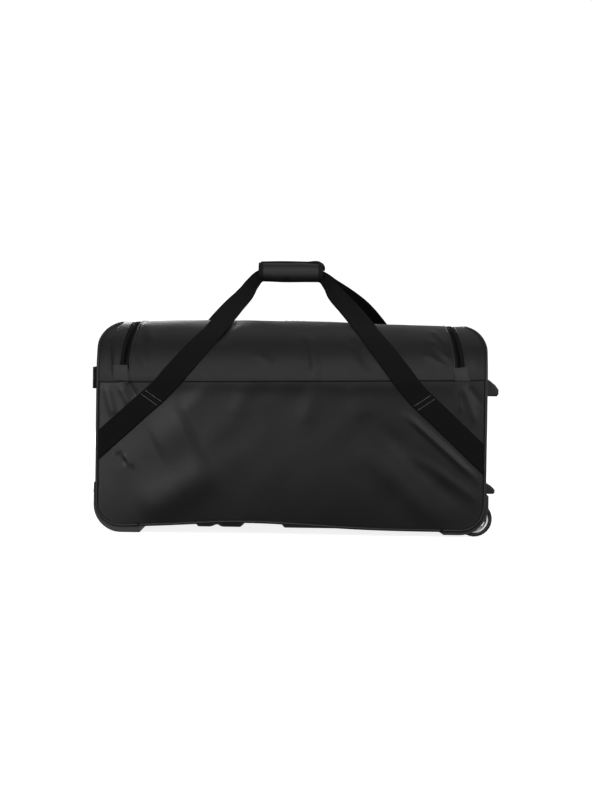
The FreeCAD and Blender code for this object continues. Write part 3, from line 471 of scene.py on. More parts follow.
# Each fold is a soft ridge (or valley) from (x, s) to (x, s), with its width and height.
frontFolds = [
    (-0.323, 0.244, -0.306, 0.189, 0.007, 0.0030), (-0.284, 0.251, -0.267, 0.220, 0.005, -0.0022),
    (-0.296, 0.240, -0.279, 0.208, 0.005, 0.0020), (-0.299, 0.127, -0.285, 0.107, 0.005, -0.0016),
    (-0.289, 0.124, -0.272, 0.103, 0.004, 0.0013), (-0.262, 0.020, -0.130, 0.104, 0.034, 0.0040),
    (-0.238, 0.142, -0.172, 0.176, 0.045, 0.0030), (-0.074, 0.250, -0.098, 0.190, 0.016, 0.0006),
    (0.040, 0.246, 0.022, 0.180, 0.014, 0.0006), (0.100, 0.250, 0.124, 0.190, 0.014, 0.0006),
    (0.196, 0.200, 0.326, 0.084, 0.0050, 0.0034), (0.294, 0.251, 0.318, 0.186, 0.006, 0.0026),
    (0.286, 0.248, 0.291, 0.203, 0.005, 0.0016), (0.304, 0.248, 0.332, 0.213, 0.005, -0.0018),
    (0.150, 0.185, 0.310, 0.030, 0.017, -0.0022), (0.120, 0.140, 0.262, 0.008, 0.019, 0.0018),
    (0.210, 0.130, 0.326, 0.050, 0.009, 0.0018), (-0.140, 0.246, -0.190, 0.196, 0.014, 0.0006),
    (0.029, 0.340, 0.043, 0.262, 0.008, 0.0018), (0.018, 0.330, 0.030, 0.268, 0.006, -0.0012),
    (0.272, 0.290, 0.236, 0.335, 0.006, 0.0028), (0.270, 0.278, 0.225, 0.305, 0.006, 0.0020),
    (0.266, 0.318, 0.240, 0.362, 0.006, 0.0028), (-0.262, 0.380, -0.240, 0.309, 0.008, 0.0028),
    (-0.276, 0.322, -0.244, 0.265, 0.008, 0.0024), (-0.065, 0.302, -0.030, 0.274, 0.007, 0.0017),
    (-0.100, 0.385, -0.126, 0.315, 0.010, -0.0024), (0.100, 0.335, 0.138, 0.268, 0.008, -0.0018),
    (-0.312, 0.262, -0.318, 0.330, 0.004, -0.0050), (-0.318, 0.330, -0.304, 0.390, 0.004, -0.0045),
    (0.314, 0.270, 0.318, 0.330, 0.006, 0.0022),
]
rearFolds = [
    (-0.300, 0.240, -0.270, 0.180, 0.008, 0.0028), (-0.285, 0.130, -0.210, 0.070, 0.012, 0.0026),
    (0.300, 0.245, 0.318, 0.185, 0.006, 0.0026), (0.205, 0.200, 0.318, 0.095, 0.009, 0.0030),
    (0.120, 0.120, 0.240, 0.030, 0.024, 0.0030), (-0.150, 0.060, -0.020, 0.130, 0.034, 0.0022),
    (0.050, 0.246, 0.030, 0.190, 0.010, 0.0014), (-0.080, 0.250, -0.110, 0.190, 0.012, 0.0014),
    (-0.200, 0.330, -0.150, 0.270, 0.009, 0.0020), (0.150, 0.330, 0.200, 0.270, 0.009, 0.0020),
    (0.000, 0.360, 0.020, 0.270, 0.012, 0.0016),
]
# Small waves over all the cloth, each sin(a x + b s + c) with its height in metres.
draw = np.random.default_rng(11)
crumpleWaves = [(draw.uniform(-95, 95), draw.uniform(-95, 95), draw.uniform(0, 6.3),
                 draw.uniform(0.00002, 0.00008)) for _ in range(14)]


def ridges(x, s, folds):
    # Height times exp(-(distance from the fold's line / width)^2), running out at both ends.
    total = 0.0
    for startX, startS, endX, endS, wide, tall in folds:
        alongX, alongS = endX - startX, endS - startS
        t = np.clip(((x - startX) * alongX + (s - startS) * alongS)
                    / (alongX**2 + alongS**2), 0, 1)
        away = (x - startX - t * alongX) ** 2 + (s - startS - t * alongS) ** 2
        total = total + tall * eased(3 * np.minimum(t + 0.1, 1.1 - t)) * np.exp(-away / wide**2)
    return total


swellForm = {"belly": 0.0074, "hem": 0.0020, "hemWide": 0.016, "puff": 0.0030, "sag": 0.0060,
             "topWide": 0.12}


def swell(x, s):
    # How far the cloth stands out from the plain form: a belly on each wall, a turned hem at
    # the seams, a puffed top that sags to the right, folds, and small waves; nothing at the
    # piping.
    near = np.minimum(s, girthLong - s)
    height = girthPoint(0.0, s)[..., 2]
    share = np.clip(np.abs(x) / outlineHalf(height), 0, 1)
    across = (1 - share**3.6)
    rise = 1 - (1 - np.clip(near / (0.55 * seamAt), 0, 1)) ** 2.2
    over = eased((near - seamAt) / 0.13)
    belly = swellForm["belly"] * rise * (1 - 0.55 * over)
    hem = swellForm["hem"] * np.exp(-((near - seamAt) / swellForm["hemWide"]) ** 2)
    middle = girthLong / 2
    top = (swellForm["puff"] - swellForm["sag"] * eased((x - 0.02) / 0.22)) \
        * np.exp(-((s - middle) / swellForm["topWide"]) ** 2)
    waves = sum(tall * np.sin(a * x + b * s + c) for a, b, c, tall in crumpleWaves)
    folds = np.where(s < middle, ridges(x, s, frontFolds), ridges(x, girthLong - s, rearFolds))
    return across * (belly + hem + top) + np.sqrt(across) * (waves + folds)


zipLine = {"low": 0.2895, "top": 0.2745, "rear": 0.085, "corner": 0.035, "tape": 0.0075}
cornerS = wallLong + arcLong + flatHalf + zipLine["rear"] - zipLine["corner"]


def zipHalf(s):
    # The zip's distance from the bag's middle: it leans in as it climbs the shoulder.
    return zipLine["low"] - (zipLine["low"] - zipLine["top"]) * eased((s - 0.262) / 0.140)


def zipPath(away, low=0.0):
    # The zip's line in (x, s), moved outwards by away: up one side, round the rear corner,
    # along the rear and back down the other side.
    r = zipLine["corner"] + away
    climb = np.linspace(seamAt + low, cornerS, 150)
    turn = np.linspace(0, math.pi / 2, 24)[1:]
    half = [np.stack([zipHalf(climb) + away, climb], 1),
            np.stack([zipLine["top"] - zipLine["corner"] + r * np.cos(turn),
                      cornerS + r * np.sin(turn)], 1)]
    rear = np.linspace(1, 0, 60)[1:]
    half.append(np.stack([(zipLine["top"] - zipLine["corner"]) * rear,
                          np.full(len(rear), cornerS + r)], 1))
    right = np.concatenate(half)
    return np.concatenate([right, (right * [-1, 1])[-2::-1]])


def evenly(path, count):
    # The same line with its points an even distance apart.
    spots = along(path)
    at = np.linspace(0, spots[-1], count)
    return np.stack([np.interp(at, spots, path[:, n]) for n in range(path.shape[1])], 1)


def skinShell(name, x, s, finish, lift=0.0):
    # Cloth on the skin, over a grid of x and s; its uv is the flat cut in metres.
    out = swell(x, s) + lift
    return shell(name, girthPoint(x, s, out), girthPoint(x, s, out - skin["cloth"]), finish,
                 stacked(x, s))


def seamS(x):
    # The front seam hangs a little lower on the left than on the right.
    return seamAt + 0.0012 + 0.0058 * x / skin["halfLong"]


def wallPanel(name, side, finish):
    # The big panel under the seam: each column runs from the rounded, arching bottom edge up
    # to the seam.
    u, t = spread(np.linspace(-1, 1, 221), np.linspace(0, 1, 91))
    x = u * (skin["halfLong"] - 0.0005)
    r = skin["endRound"]
    drop = np.clip(np.abs(x) - skin["halfLong"] + r, 0, r)
    foot = r - np.sqrt(r * r - drop * drop) + bottomRise(x)
    top = (seamS(x) if side < 0 else seamAt) + 0.001
    s = foot + (top - foot) * t
    return skinShell(name, x, s if side < 0 else girthLong - s, finish)


front = wallPanel("frontPanel", -1, finishes["coated"])
settled(front, ["front_panel"])
rear = wallPanel("rearPanel", 1, finishes["coated"])
settled(rear, ["rear_panel"])
print("wall panels made")


def lidPanel():
    # Columns spread across the lid's width at each s; the last rows follow the zip's corners.
    r = zipLine["corner"] - zipLine["tape"]
    u, t = spread(np.linspace(-1, 1, 201), np.linspace(0, 1, 131))
    s = seamAt + (cornerS + r - seamAt) * t
    past = np.clip(s - cornerS, 0, r)
    half = np.where(s > cornerS, zipLine["top"] - zipLine["corner"] + np.sqrt(r * r - past**2),
                    zipHalf(s) - zipLine["tape"])
    s = s + (seamS(u * half) - seamAt - 0.0014) * eased(1 - t * 3)
    piece = skinShell("lidPanel", u * half, s, finishes["woven"], 0.0012)
    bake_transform(piece)
    settled(piece, ["lid_panel"], None)


def sideStrip(name, sign, node):
    # The strip between the zip and the end's piping, from the seam over the shoulder.
    t, u = spread(np.linspace(0, 1, 121), np.linspace(0, 1, 19))
    s = seamAt - 0.001 + (cornerS - seamAt) * t
    inside = zipHalf(s) + zipLine["tape"]
    outside = outlineHalf(girthPoint(0.0, s)[..., 2])
    x = sign * (inside + (outside - inside) * u)
    s = s + (seamS(x) - seamAt - 0.0004) * eased(1 - t * 3)
    piece = skinShell(name, x, s, finishes["woven"], 0.0006)
    settled(piece, [node])


def rearYoke():
    # Ruled between the zip's outer side and the rear seam with the two end edges.
    r = zipLine["corner"] + zipLine["tape"]
    straight = zipLine["top"] - zipLine["corner"]
    u = np.linspace(-1, 1, 221)
    knee = 0.78
    way = np.clip(np.abs(u) / knee, 0, 1)
    turn = np.clip((np.abs(u) - knee) / (1 - knee), 0, 1) * math.pi / 2
    innerX = straight * way + r * np.sin(turn)
    innerS = cornerS + r * np.cos(turn)
    rearSeam = girthLong - seamAt
    outerS = rearSeam + (cornerS - rearSeam) * np.clip((np.abs(u) - knee) / (1 - knee), 0, 1)
    outerX = outlineHalf(girthPoint(0.0, outerS)[..., 2]) * way
    t = np.linspace(0, 1, 61)[None]
    x = np.sign(u)[:, None] * (innerX[:, None] * (1 - t) + outerX[:, None] * t)
    s = innerS[:, None] * (1 - t) + outerS[:, None] * t
    piece = skinShell("rearYoke", x, s, finishes["woven"], 0.0006)
    settled(piece, ["rear_yoke"])


lidPanel()
sideStrip("sideStripLeft", -1, "shoulder_strip_left")
sideStrip("sideStripRight", 1, "shoulder_strip_right")
rearYoke()
print("lid, strips and yoke made")


def endPoint(sign, c, y, lift):
    # Round the end: along the bottom while c is below 0, up the lower corner, the wall, and
    # the top corner; lift goes out along the normal.
    r = skin["endRound"]
    quarter = r * math.pi / 2
    wall = skin["top"] - skin["low"] - 2 * r
    low = np.clip(c / r, 0, math.pi / 2)
    high = np.clip((c - quarter - wall) / r, 0, math.pi / 2)
    turn = low + high
    flat = skin["halfLong"] - r
    x = flat + np.minimum(c, 0) + r * np.sin(low) - r * (1 - np.cos(high))
    z = skin["low"] + r * (1 - np.cos(low)) + np.clip(c - quarter, 0, wall) + r * np.sin(high)
    x = x + lift * np.sin(turn)
    z = z - lift * np.cos(turn)
    return stacked(sign * x, y, z)


gusset = {"topCut": 0.192, "under": -0.012, "lowRow": 0.0605, "highRow": 0.0715,
          "puff": 0.0024, "ripple": 0.0006}


def endGusset(name, sign, node, covered):
    # The end panel: a grid of c and y that narrows with the shoulder; cells in the covered
    # part, where the mouldings sit, are left out.
    r = skin["endRound"]
    topC = r * math.pi + skin["top"] - skin["low"] - 2 * r - gusset["topCut"] * r
    turned = r * (math.pi / 2 - 1)
    rows = np.unique(np.r_[np.linspace(gusset["under"], topC, 97), turned + gusset["lowRow"],
                           turned + gusset["highRow"]])
    c, v = spread(rows, np.linspace(-1, 1, 75))
    z = endPoint(1, c, 0.0, 0.0)[..., 2]
    y = v * (sideHalf(z) - 0.0005)
    puff = gusset["puff"] * (1 - np.abs(v) ** 4) * eased(c / 0.09) * eased((topC - c) / 0.10)
    puff = puff + gusset["ripple"] * np.sin(31 * c + 9 * y) * (1 - v**2)
    middle = (z[:-1, :-1] + z[1:, 1:]) / 2
    off = np.abs(y[:-1, :-1] + y[1:, 1:]) / 2
    piece = shell(name, endPoint(sign, c, y, puff), endPoint(sign, c, y, puff - skin["cloth"]),
                  finishes["coated"], np.stack([c, y], -1), ~covered(middle, off))
    settled(piece, [node])


endGusset("endGussetLeft", -1, "end_gusset_left", lambda z, y: z < 0.0825)
endGusset("endGussetRight", 1, "end_gusset_right", lambda z, y: (z < 0.0705) & (y > 0.115))


# Under the bag: the two ribs' ends, the groove in the first one, and where drums are cut out.
bottom = {"ribs": ((-0.171, -0.075), (-0.021, 0.114)), "ribEase": 0.012, "groove": -0.128,
          "grooveWide": 0.006, "sink": 0.0014, "ripple": 0.0006, "drumX": 0.2775,
          "drumY": 0.115, "left": -0.292, "right": 0.2805, "halfWide": 0.1845}


def bottomPanel():
    # The bottom cloth lies under the two long ribs and is drawn up between them and at the
    # edges; the wheel drums and the end panel's place are left out.
    wide, ease = bottom["halfWide"], bottom["ribEase"]
    x, y = spread(np.linspace(bottom["left"], bottom["right"], 192), np.linspace(-wide, wide, 81))
    first, second = (eased((x - left) / ease) * eased((right - x) / ease)
                     for left, right in bottom["ribs"])
    groove = 1 - 0.35 * np.exp(-((x - bottom["groove"]) / bottom["grooveWide"]) ** 2)
    onRib = first * groove + second
    onRib = np.clip(onRib, 0, 1)
    edge = eased((np.abs(y) - 0.095 - 0.062 * onRib) / (0.075 - 0.048 * onRib))
    lift = bottomRise(x) * (edge + (1 - edge) * 0.55 * (1 - onRib))
    lift = lift - bottom["sink"] * onRib * (1 - edge)
    lift = lift + bottom["ripple"] * np.sin(60 * x + 14 * y) * (1 - edge) * (1 - onRib)
    outer = np.stack([x, y, skin["low"] + lift], -1)
    inner = outer + [0, 0, skin["cloth"]]
    middle = (x[:-1, :-1] + x[1:, 1:]) / 2
    off = np.abs(y[:-1, :-1] + y[1:, 1:]) / 2
    piece = shell("bottomPanel", outer, inner, finishes["coated"], np.stack([x, y], -1),
                  ~((middle > bottom["drumX"]) & (off > bottom["drumY"])))
    settled(piece, ["bottom_panel"])


bottomPanel()
print("ends and bottom made")

piping = {"radius": 0.0027, "out": 0.0006, "join": 0.262}


def endPiping(name, sign, node):
    # Along the bottom edge, round the corner, up the edge of the front, over the shoulder,
    # across the top and down the rear the same way.
    r = skin["endRound"]
    flat = skin["halfLong"] - r
    run = np.linspace(piping["join"], flat, 12)[:-1]
    turn = np.linspace(0, math.pi / 2, 22)
    wall = np.linspace(skin["low"] + r, skin["top"] - skin["shoulder"], 46)[1:]
    topTurn = math.asin((skin["top"] - r + math.sqrt(r * r - (skin["topEnd"] - flat) ** 2)
                         - skin["top"] + skin["shoulder"]) / skin["shoulder"])
    over = np.linspace(0, topTurn, 34)[1:]
    overZ = skin["top"] - skin["shoulder"] * (1 - np.sin(over))
    x = np.concatenate([run, flat + r * np.sin(turn), np.full(len(wall), skin["halfLong"]),
                        outlineHalf(overZ)])
    z = np.concatenate([skin["low"] + bottomRise(sign * run),
                        skin["low"] + r * (1 - np.cos(turn)) + bottomRise(sign * flat)
                        * np.cos(turn) ** 4, wall, overZ])
    y = np.concatenate([np.full(len(run) + len(turn) + len(wall), skin["halfDeep"]),
                        flatHalf + skin["shoulder"] * np.cos(over)])
    front = np.stack([sign * (x + piping["out"]), -y - piping["out"], z], 1)
    path = np.concatenate([front, (front * [1, -1, 1])[::-1]])
    path = evenly(path, 330)
    piece = sweep(name, path, circle(piping["radius"], 10), np.array([sign, 0.3, 0.02]),
                  finishes["piping"])
    settled(piece, [node])


def bottomPiping():
    # The cord along the front and rear bottom edges, which arch with the cloth.
    x = np.linspace(-piping["join"], piping["join"], 120)
    for name, side in (("pipingBottomFront", -1), ("pipingBottomRear", 1)):
        y = np.full(len(x), side * (skin["halfDeep"] + piping["out"]))
        piece = sweep(name, np.stack([x, y, skin["low"] + bottomRise(x)], 1),
                      circle(piping["radius"], 10), np.array([0, 0, 1.0]), finishes["piping"])
        settled(piece, ["piping_bottom"])


endPiping("pipingLeft", -1, "piping_left")
endPiping("pipingRight", 1, "piping_right")
bottomPiping()
print("piping made")


zipParts = {"tapeLow": 0.024, "rows": 480, "sunk": 0.0012, "thick": 0.0012, "teeth": 460,
            "tooth": (0.0016, 0.0027, 0.0024), "toothOut": 0.0014, "toothSunk": 0.0013,
            "cordOut": 0.0012, "cordRise": 0.0014, "cordRadius": 0.0009,
            "tabRise": 0.0022, "tabBow": 0.0012, "tabInset": 0.09, "threadRise": 0.0024,
            "stitch": (0.0016, 0.0006, 0.0006)}


def zipSide(sign, body, tapeNode, teethNode, word):
    # One half of the zip: a tape from the middle line outwards (sign 1) or towards the lid
    # (sign -1), and its row of teeth, which point to the middle line.
    low, rows = zipParts["tapeLow"], zipParts["rows"]
    t = np.linspace(0, 1, 6)
    lines = np.stack([evenly(zipPath(sign * (0.0003 + (zipLine["tape"] + 0.0006) * k), low),
                             rows) for k in t], 1)
    x, s = lines[..., 0], lines[..., 1]
    out = swell(x, s) - zipParts["sunk"]
    spots = np.linspace(0, 1.42, rows)[:, None] + 0 * x
    tape = shell(f"zipTape{word}", girthPoint(x, s, out), girthPoint(x, s, out - zipParts["thick"]),
                 finishes["tape"], np.stack([spots, t[None] * 0.008 + 0 * x], -1))
    settled(tape, [tapeNode], body)
    count = zipParts["teeth"]
    line = evenly(zipPath(sign * zipParts["toothOut"], low + 0.002), count + (sign > 0))[:count]
    spot = girthPoint(line[:, 0], line[:, 1],
                      swell(line[:, 0], line[:, 1]) - zipParts["toothSunk"])
    above = girthPoint(line[:, 0], line[:, 1], swell(line[:, 0], line[:, 1]) + 0.01)
    shape, faces = block(*zipParts["tooth"])
    teeth = strew(f"zipTeeth{word}", shape, faces, spot, np.gradient(spot, axis=0), above - spot,
                  finishes["teeth"], crisp=30)
    settled(teeth, [teethNode], body)


zipSide(1, "bag", "zip_tape_bag", "zip_teeth_bag", "Bag")
zipSide(-1, "lid", "zip_tape_lid", "zip_teeth_lid", "Lid")


def lidCord():
    # The thin cord along the lid's edge, beside the zip.
    line = evenly(zipPath(-zipLine["tape"] - zipParts["cordOut"], 0.004), 420)
    lift = swell(line[:, 0], line[:, 1]) + zipParts["cordRise"]
    path = girthPoint(line[:, 0], line[:, 1], lift)
    up = girthPoint(line[:, 0], line[:, 1], lift + 0.01) - path
    piece = sweep("lidCord", path, circle(zipParts["cordRadius"], 8), up, finishes["lidCord"])
    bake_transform(piece)
    settled(piece, (), None)


lidCord()


def zipTab(name, corners, node):
    # A woven patch with four given corners in (x, s), sewn over the zip's lower end.
    corners = np.array(corners)
    u, v = spread(np.linspace(0, 1, 15), np.linspace(0, 1, 15))
    flat = sum(w[..., None] * c for w, c in zip(
        ((1 - u) * (1 - v), u * (1 - v), u * v, (1 - u) * v), corners))
    x, s = flat[..., 0], flat[..., 1]
    bowed = zipParts["tabBow"] * np.sin(np.pi * u) * np.sin(np.pi * v)
    out = swell(x, s) + zipParts["tabRise"] + bowed
    piece = shell(name, girthPoint(x, s, out), girthPoint(x, s, out - zipParts["tabRise"]),
                  finishes["tab"], np.stack([x, s], -1))
    settled(piece, [node])
    inset = zipParts["tabInset"]
    ring = np.array([[inset, inset], [1 - inset, inset], [1 - inset, 1 - inset],
                     [inset, 1 - inset], [inset, inset]])
    ring = evenly(ring, 41)
    u, v = ring[:-1, 0] + np.diff(ring[:, 0]) / 2, ring[:-1, 1] + np.diff(ring[:, 1]) / 2
    flat = sum(w[..., None] * c for w, c in zip(
        ((1 - u) * (1 - v), u * (1 - v), u * v, (1 - u) * v), corners))
    lift = swell(flat[:, 0], flat[:, 1]) + zipParts["threadRise"] \
        + zipParts["tabBow"] * np.sin(np.pi * u) * np.sin(np.pi * v)
    spot = girthPoint(flat[:, 0], flat[:, 1], lift)
    shape, faces = pillow(*zipParts["stitch"])
    threads = strew(f"{name}Thread", shape, faces, spot, np.gradient(spot, axis=0),
                    girthPoint(flat[:, 0], flat[:, 1], lift + 0.01) - spot,
                    finishes["tabThread"])
    settled(threads)


zipTab("zipTabLeft", [(-0.306, 0.251), (-0.280, 0.250), (-0.2835, 0.2770), (-0.310, 0.2770)],
       "zip_end_tab_left")
zipTab("zipTabRight", [(0.282, 0.258), (0.307, 0.258), (0.302, 0.2820), (0.276, 0.2785)],
       "zip_end_tab_right")
print("zip made")


# Webbing straps that run up into the handles.

strapForm = {"rearBow": 0.010, "stitchHalf": 0.0155, "stitchApart": 0.0048, "stitchSlant": 0.24,
             "stitch": (0.0021, 0.0007, 0.0007), "wide": 0.038, "thick": 0.0022,
             "off": 0.0006, "bend": 0.246, "leave": 54.0,
             "across": 13, "gripHeight": 0.4567,
             "foldY": 0.187, "foldLow": 0.238,
             "foldHigh": 0.264,
             # along the free part: share of the way up, share pulled in, width
             "free": ((0.24, 0.24, 0.037), (0.5, 0.52, 0.034), (0.76, 0.82, 0.029),
                      (0.92, 0.95, 0.024))}
straps = {
    "left": {"edge": 0.149, "stitch": (0.242, 0.233), "cross": 0.120, "wrap": 0.0655,
             "rearOut": 0.003, "rearSlack": 1.0},
    "right": {"edge": 0.1326, "stitch": (0.229, 0.231), "cross": 0.117, "wrap": 0.0505,
              "rearOut": 0.013, "rearSlack": 0.72},
}


def strapGrid(sign, side, form):
    # Sewn part: columns follow a line in (x, s) on the skin and start at the piping. Free
    # part: a smooth curve through a few stops up to the grip, its width set square to its
    # heading. The two are blended over the shoulder, where both lie on the cloth.
    bow = strapForm["rearBow"] if side > 0 else 0.0
    stitchX, stitchZ = form["stitch"]
    stitchX = stitchX + bow
    slope = math.atan2(stitchZ - form["edge"], skin["halfLong"] - stitchX)
    footX = skin["halfLong"] - (strapForm["bend"] - form["edge"]) / math.tan(slope)
    crossX = form["cross"] + 2 * bow + (form["rearOut"] if side > 0 else 0.0)
    lean = (crossX - footX) / (skin["top"] + 0.001 - strapForm["bend"])
    wallStops = [(skin["halfLong"], form["edge"] - skin["low"])]
    wallStops += [(skin["halfLong"] - (skin["halfLong"] - footX) * k,
                   form["edge"] + (strapForm["bend"] - form["edge"]) * k - skin["low"])
                  for k in (0.35, 0.7, 1.0)]
    wallStops[0] = tuple(2 * np.array(wallStops[0]) - wallStops[1])
    for angle in np.radians([4, 14, 24, 34, 44, 54, 60]):
        z = skin["top"] - skin["shoulder"] * (1 - math.sin(angle))
        wallStops.append((footX + lean * (z - strapForm["bend"]),
                          wallLong + skin["shoulder"] * angle))
    line = throughStops(wallStops, 160)
    lineSpots = along(line)
    edgeSpot = np.interp(form["edge"] - skin["low"], line[:, 1], lineSpots)
    lineSpots = lineSpots - edgeSpot
    sewnLong = np.interp(wallLong + skin["shoulder"] * math.radians(strapForm["leave"]),
                         line[:, 1], lineSpots)

    def onSkin(a, w, lift):
        # The point a along the sewn line and w across it, in the bag's frame.
        a = np.minimum(a, lineSpots[-1] - 0.005)
        x = np.interp(a, lineSpots, line[:, 0])
        s = np.interp(a, lineSpots, line[:, 1])
        ahead = np.interp(a + 0.004, lineSpots, line[:, 0]) - np.interp(a - 0.004, lineSpots,
                                                                        line[:, 0])
        climb = np.interp(a + 0.004, lineSpots, line[:, 1]) - np.interp(a - 0.004, lineSpots,
                                                                        line[:, 1])
        long = np.hypot(ahead, climb)
        x = sign * (x + climb / long * w)
        s = s - ahead / long * w
        s = s if side < 0 else girthLong - s
        return girthPoint(x, s, swell(x, s) + lift)

    centre = onSkin(np.linspace(0, sewnLong, 30), 0.0, strapForm["off"])
    above = onSkin(np.linspace(0, sewnLong, 30), 0.0, strapForm["off"] + 0.01)
    normal = unit(above - centre)
    stops = [np.r_[c, n, strapForm["wide"], strapForm["thick"]] for c, n in zip(centre, normal)]
    leave, lie = centre[-1], normal[-1]
    target = np.array([sign * (form["wrap"] + 0.008), side * 0.008,
                       strapForm["gripHeight"] - 0.015])
    slack = form["rearSlack"] if side > 0 else 1.0
    for share, pullIn, wide in strapForm["free"]:
        pullIn = pullIn * (slack + (1 - slack) * share**3)
        spot = leave + (target - leave) * [pullIn, share, share]
        face = unit(lie * (1 - share) + np.array([0, side, 0.0]) * share)
        stops.append(np.r_[spot, face, wide, strapForm["thick"]])
    stops.append(np.r_[sign * (form["wrap"] - 0.004), side * 0.006, strapForm["gripHeight"]
                       - 0.006, 0, side, 0, 0.020, 0.004])
    stops.append(np.r_[sign * (form["wrap"] - 0.030), side * 0.0055, strapForm["gripHeight"],
                       0, side, 0, 0.018, 0.0045])
    curve = throughStops(stops, 190)
    path = curve[:, :3]
    spots = along(path)
    heading = unit(np.gradient(path, axis=0))
    aside = unit(np.cross(curve[:, 3:6], heading))
    face = unit(np.cross(aside, heading))
    face = face * np.sign(np.sum(face * curve[:, 3:6], 1, keepdims=True))
    w = np.linspace(-0.5, 0.5, strapForm["across"])
    # Across must point the same way on the free part as on the sewn part.
    sample = onSkin(np.array([0.10, 0.10]), np.array([-0.01, 0.01]), 0.0)
    aside = aside * np.sign(np.dot(aside[np.searchsorted(spots, 0.10)], sample[1] - sample[0]))
    free = path[:, None] + aside[:, None] * (w[None, :, None] * curve[:, None, 6:7])
    start = np.tan(slope) * w * strapForm["wide"] + 0.0012 / math.cos(slope)
    a = spots[:, None] + start[None] * np.clip(1 - spots[:, None] / 0.075, 0, 1)
    sewn = onSkin(a, w[None] * strapForm["wide"], strapForm["off"])
    mix = eased((spots - sewnLong + 0.030) / 0.030)[:, None, None]
    grid = sewn * (1 - mix) + free * mix
    thick = face[:, None] * curve[:, None, 7:8]
    skinOut = onSkin(a, w[None] * strapForm["wide"], strapForm["off"] + strapForm["thick"]) - sewn
    raised = skinOut * (1 - mix) + thick * mix
    uv = stacked(spots[:, None], w[None] * strapForm["wide"])
    return grid, raised, uv, onSkin, lineSpots, line


def strapPiece(end, side):
    # One strap with its handle end: it bends between the bag and the handle.
    sign = -1 if end == "left" else 1
    where = "front" if side < 0 else "rear"
    grid, raised, uv, onSkin, lineSpots, line = strapGrid(sign, side, straps[end])
    name = f"{where}Strap{end.capitalize()}"
    piece = shell(name, grid + raised, grid, finishes["webbing"], uv)
    settled(piece, [f"{where}_strap_{end}", f"{where}_handle_strap"], None)
    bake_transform(piece)
    # Two slanting rows of pale stitches where the handle starts.
    middle = np.interp(straps[end]["stitch"][1] - skin["low"], line[:, 1], lineSpots)
    w = np.linspace(-strapForm["stitchHalf"], strapForm["stitchHalf"], 13)
    shape, faces = pillow(*strapForm["stitch"])
    for row, shift in enumerate((-strapForm["stitchApart"], strapForm["stitchApart"])):
        a = middle + shift - w * strapForm["stitchSlant"]
        spot = onSkin(a, w, strapForm["off"] + strapForm["thick"] + 0.0003)
        up = onSkin(a, w, 0.02) - spot
        thread = strew(f"{name}Stitch{row}", shape, faces, spot, np.gradient(spot, axis=0), up,
                       finishes["thread"])
        settled(thread)


for side in (-1, 1):
    for end in ("left", "right"):
        strapPiece(end, side)
print("straps made")

wrap = {"left": -0.0655, "right": 0.0505, "height": 0.4567, "tall": 0.0176, "deep": 0.0172,
        "inner": 0.0142, "band": 0.0085, "square": 0.82, "trim": 0.0012,
        "dimple": 0.0032, "dimpleX": -0.016, "pucker": 0.0005, "seamGap": 0.0004,
        "innerGap": 0.0003, "cloth": 0.0022}


def wrapHalf(name, side, node, body):
    # Half a padded sleeve: a rounded-square section from the top seam to the bottom seam,
    # fuller in the middle of its length, with a pressed dimple low in front.
    u, t = spread(np.linspace(0, 1, 97), np.linspace(-1, 1, 41))
    x = wrap["left"] + wrap["trim"] + (wrap["right"] - wrap["left"] - 2 * wrap["trim"]) * u
    turn = t * math.radians(88.5)
    power = wrap["square"]
    outY = np.sign(np.cos(turn)) * np.abs(np.cos(turn)) ** power
    outZ = np.sign(np.sin(turn)) * np.abs(np.sin(turn)) ** power
    full = 1 - 0.05 * (2 * u - 1) ** 2 + 0.018 * np.sin(9 * u + 2 * t) * np.sin(np.pi * u)
    pressed = np.exp(-((x - wrap["dimpleX"]) / 0.005) ** 2 - ((t + 0.62) / 0.22) ** 2)
    dimple = wrap["dimple"] * pressed * (side < 0)
    puckers = wrap["pucker"] * np.sin(150 * x) * np.abs(t) ** 3
    outer = np.stack([x, side * (wrap["deep"] * outY * full - dimple + puckers),
                      wrap["height"] + wrap["tall"] * outZ * full], -1)
    inner = np.stack([x, side * wrap["inner"] * 0.9 * np.cos(turn) * 0.93,
                      wrap["height"] + wrap["inner"] * np.sin(turn)], -1)
    outer[..., 1] = side * np.maximum(side * outer[..., 1], wrap["seamGap"])
    inner[..., 1] = side * np.maximum(side * inner[..., 1], wrap["innerGap"])
    piece = shell(name, outer, inner, finishes["pad"], np.stack([x, t * 0.028], -1))
    settled(piece, [node], body)
    for end, start in (("Left", wrap["left"]), ("Right", wrap["right"] - wrap["band"])):
        u, t = spread(np.linspace(0, 1, 9), np.linspace(-1, 1, 41))
        turn = t * math.radians(88.8)
        x = start + wrap["band"] * u
        puffed = 0.0010 * np.sin(np.pi * u) ** 0.5
        y = (wrap["deep"] * 0.96 + puffed) * np.abs(np.cos(turn)) ** power
        z = (wrap["tall"] * 0.96 + puffed) * np.sign(turn) * np.abs(np.sin(turn)) ** power
        outer = np.stack([x, side * np.maximum(y, wrap["seamGap"]), wrap["height"] + z], -1)
        inner = np.stack([x, side * np.maximum(y - wrap["cloth"], wrap["innerGap"]),
                          wrap["height"] + z * 0.88], -1)
        band = shell(f"{name}Band{end}", outer, inner, finishes["binding"],
                     np.stack([x, t * 0.028], -1))
        settled(band, (), body)


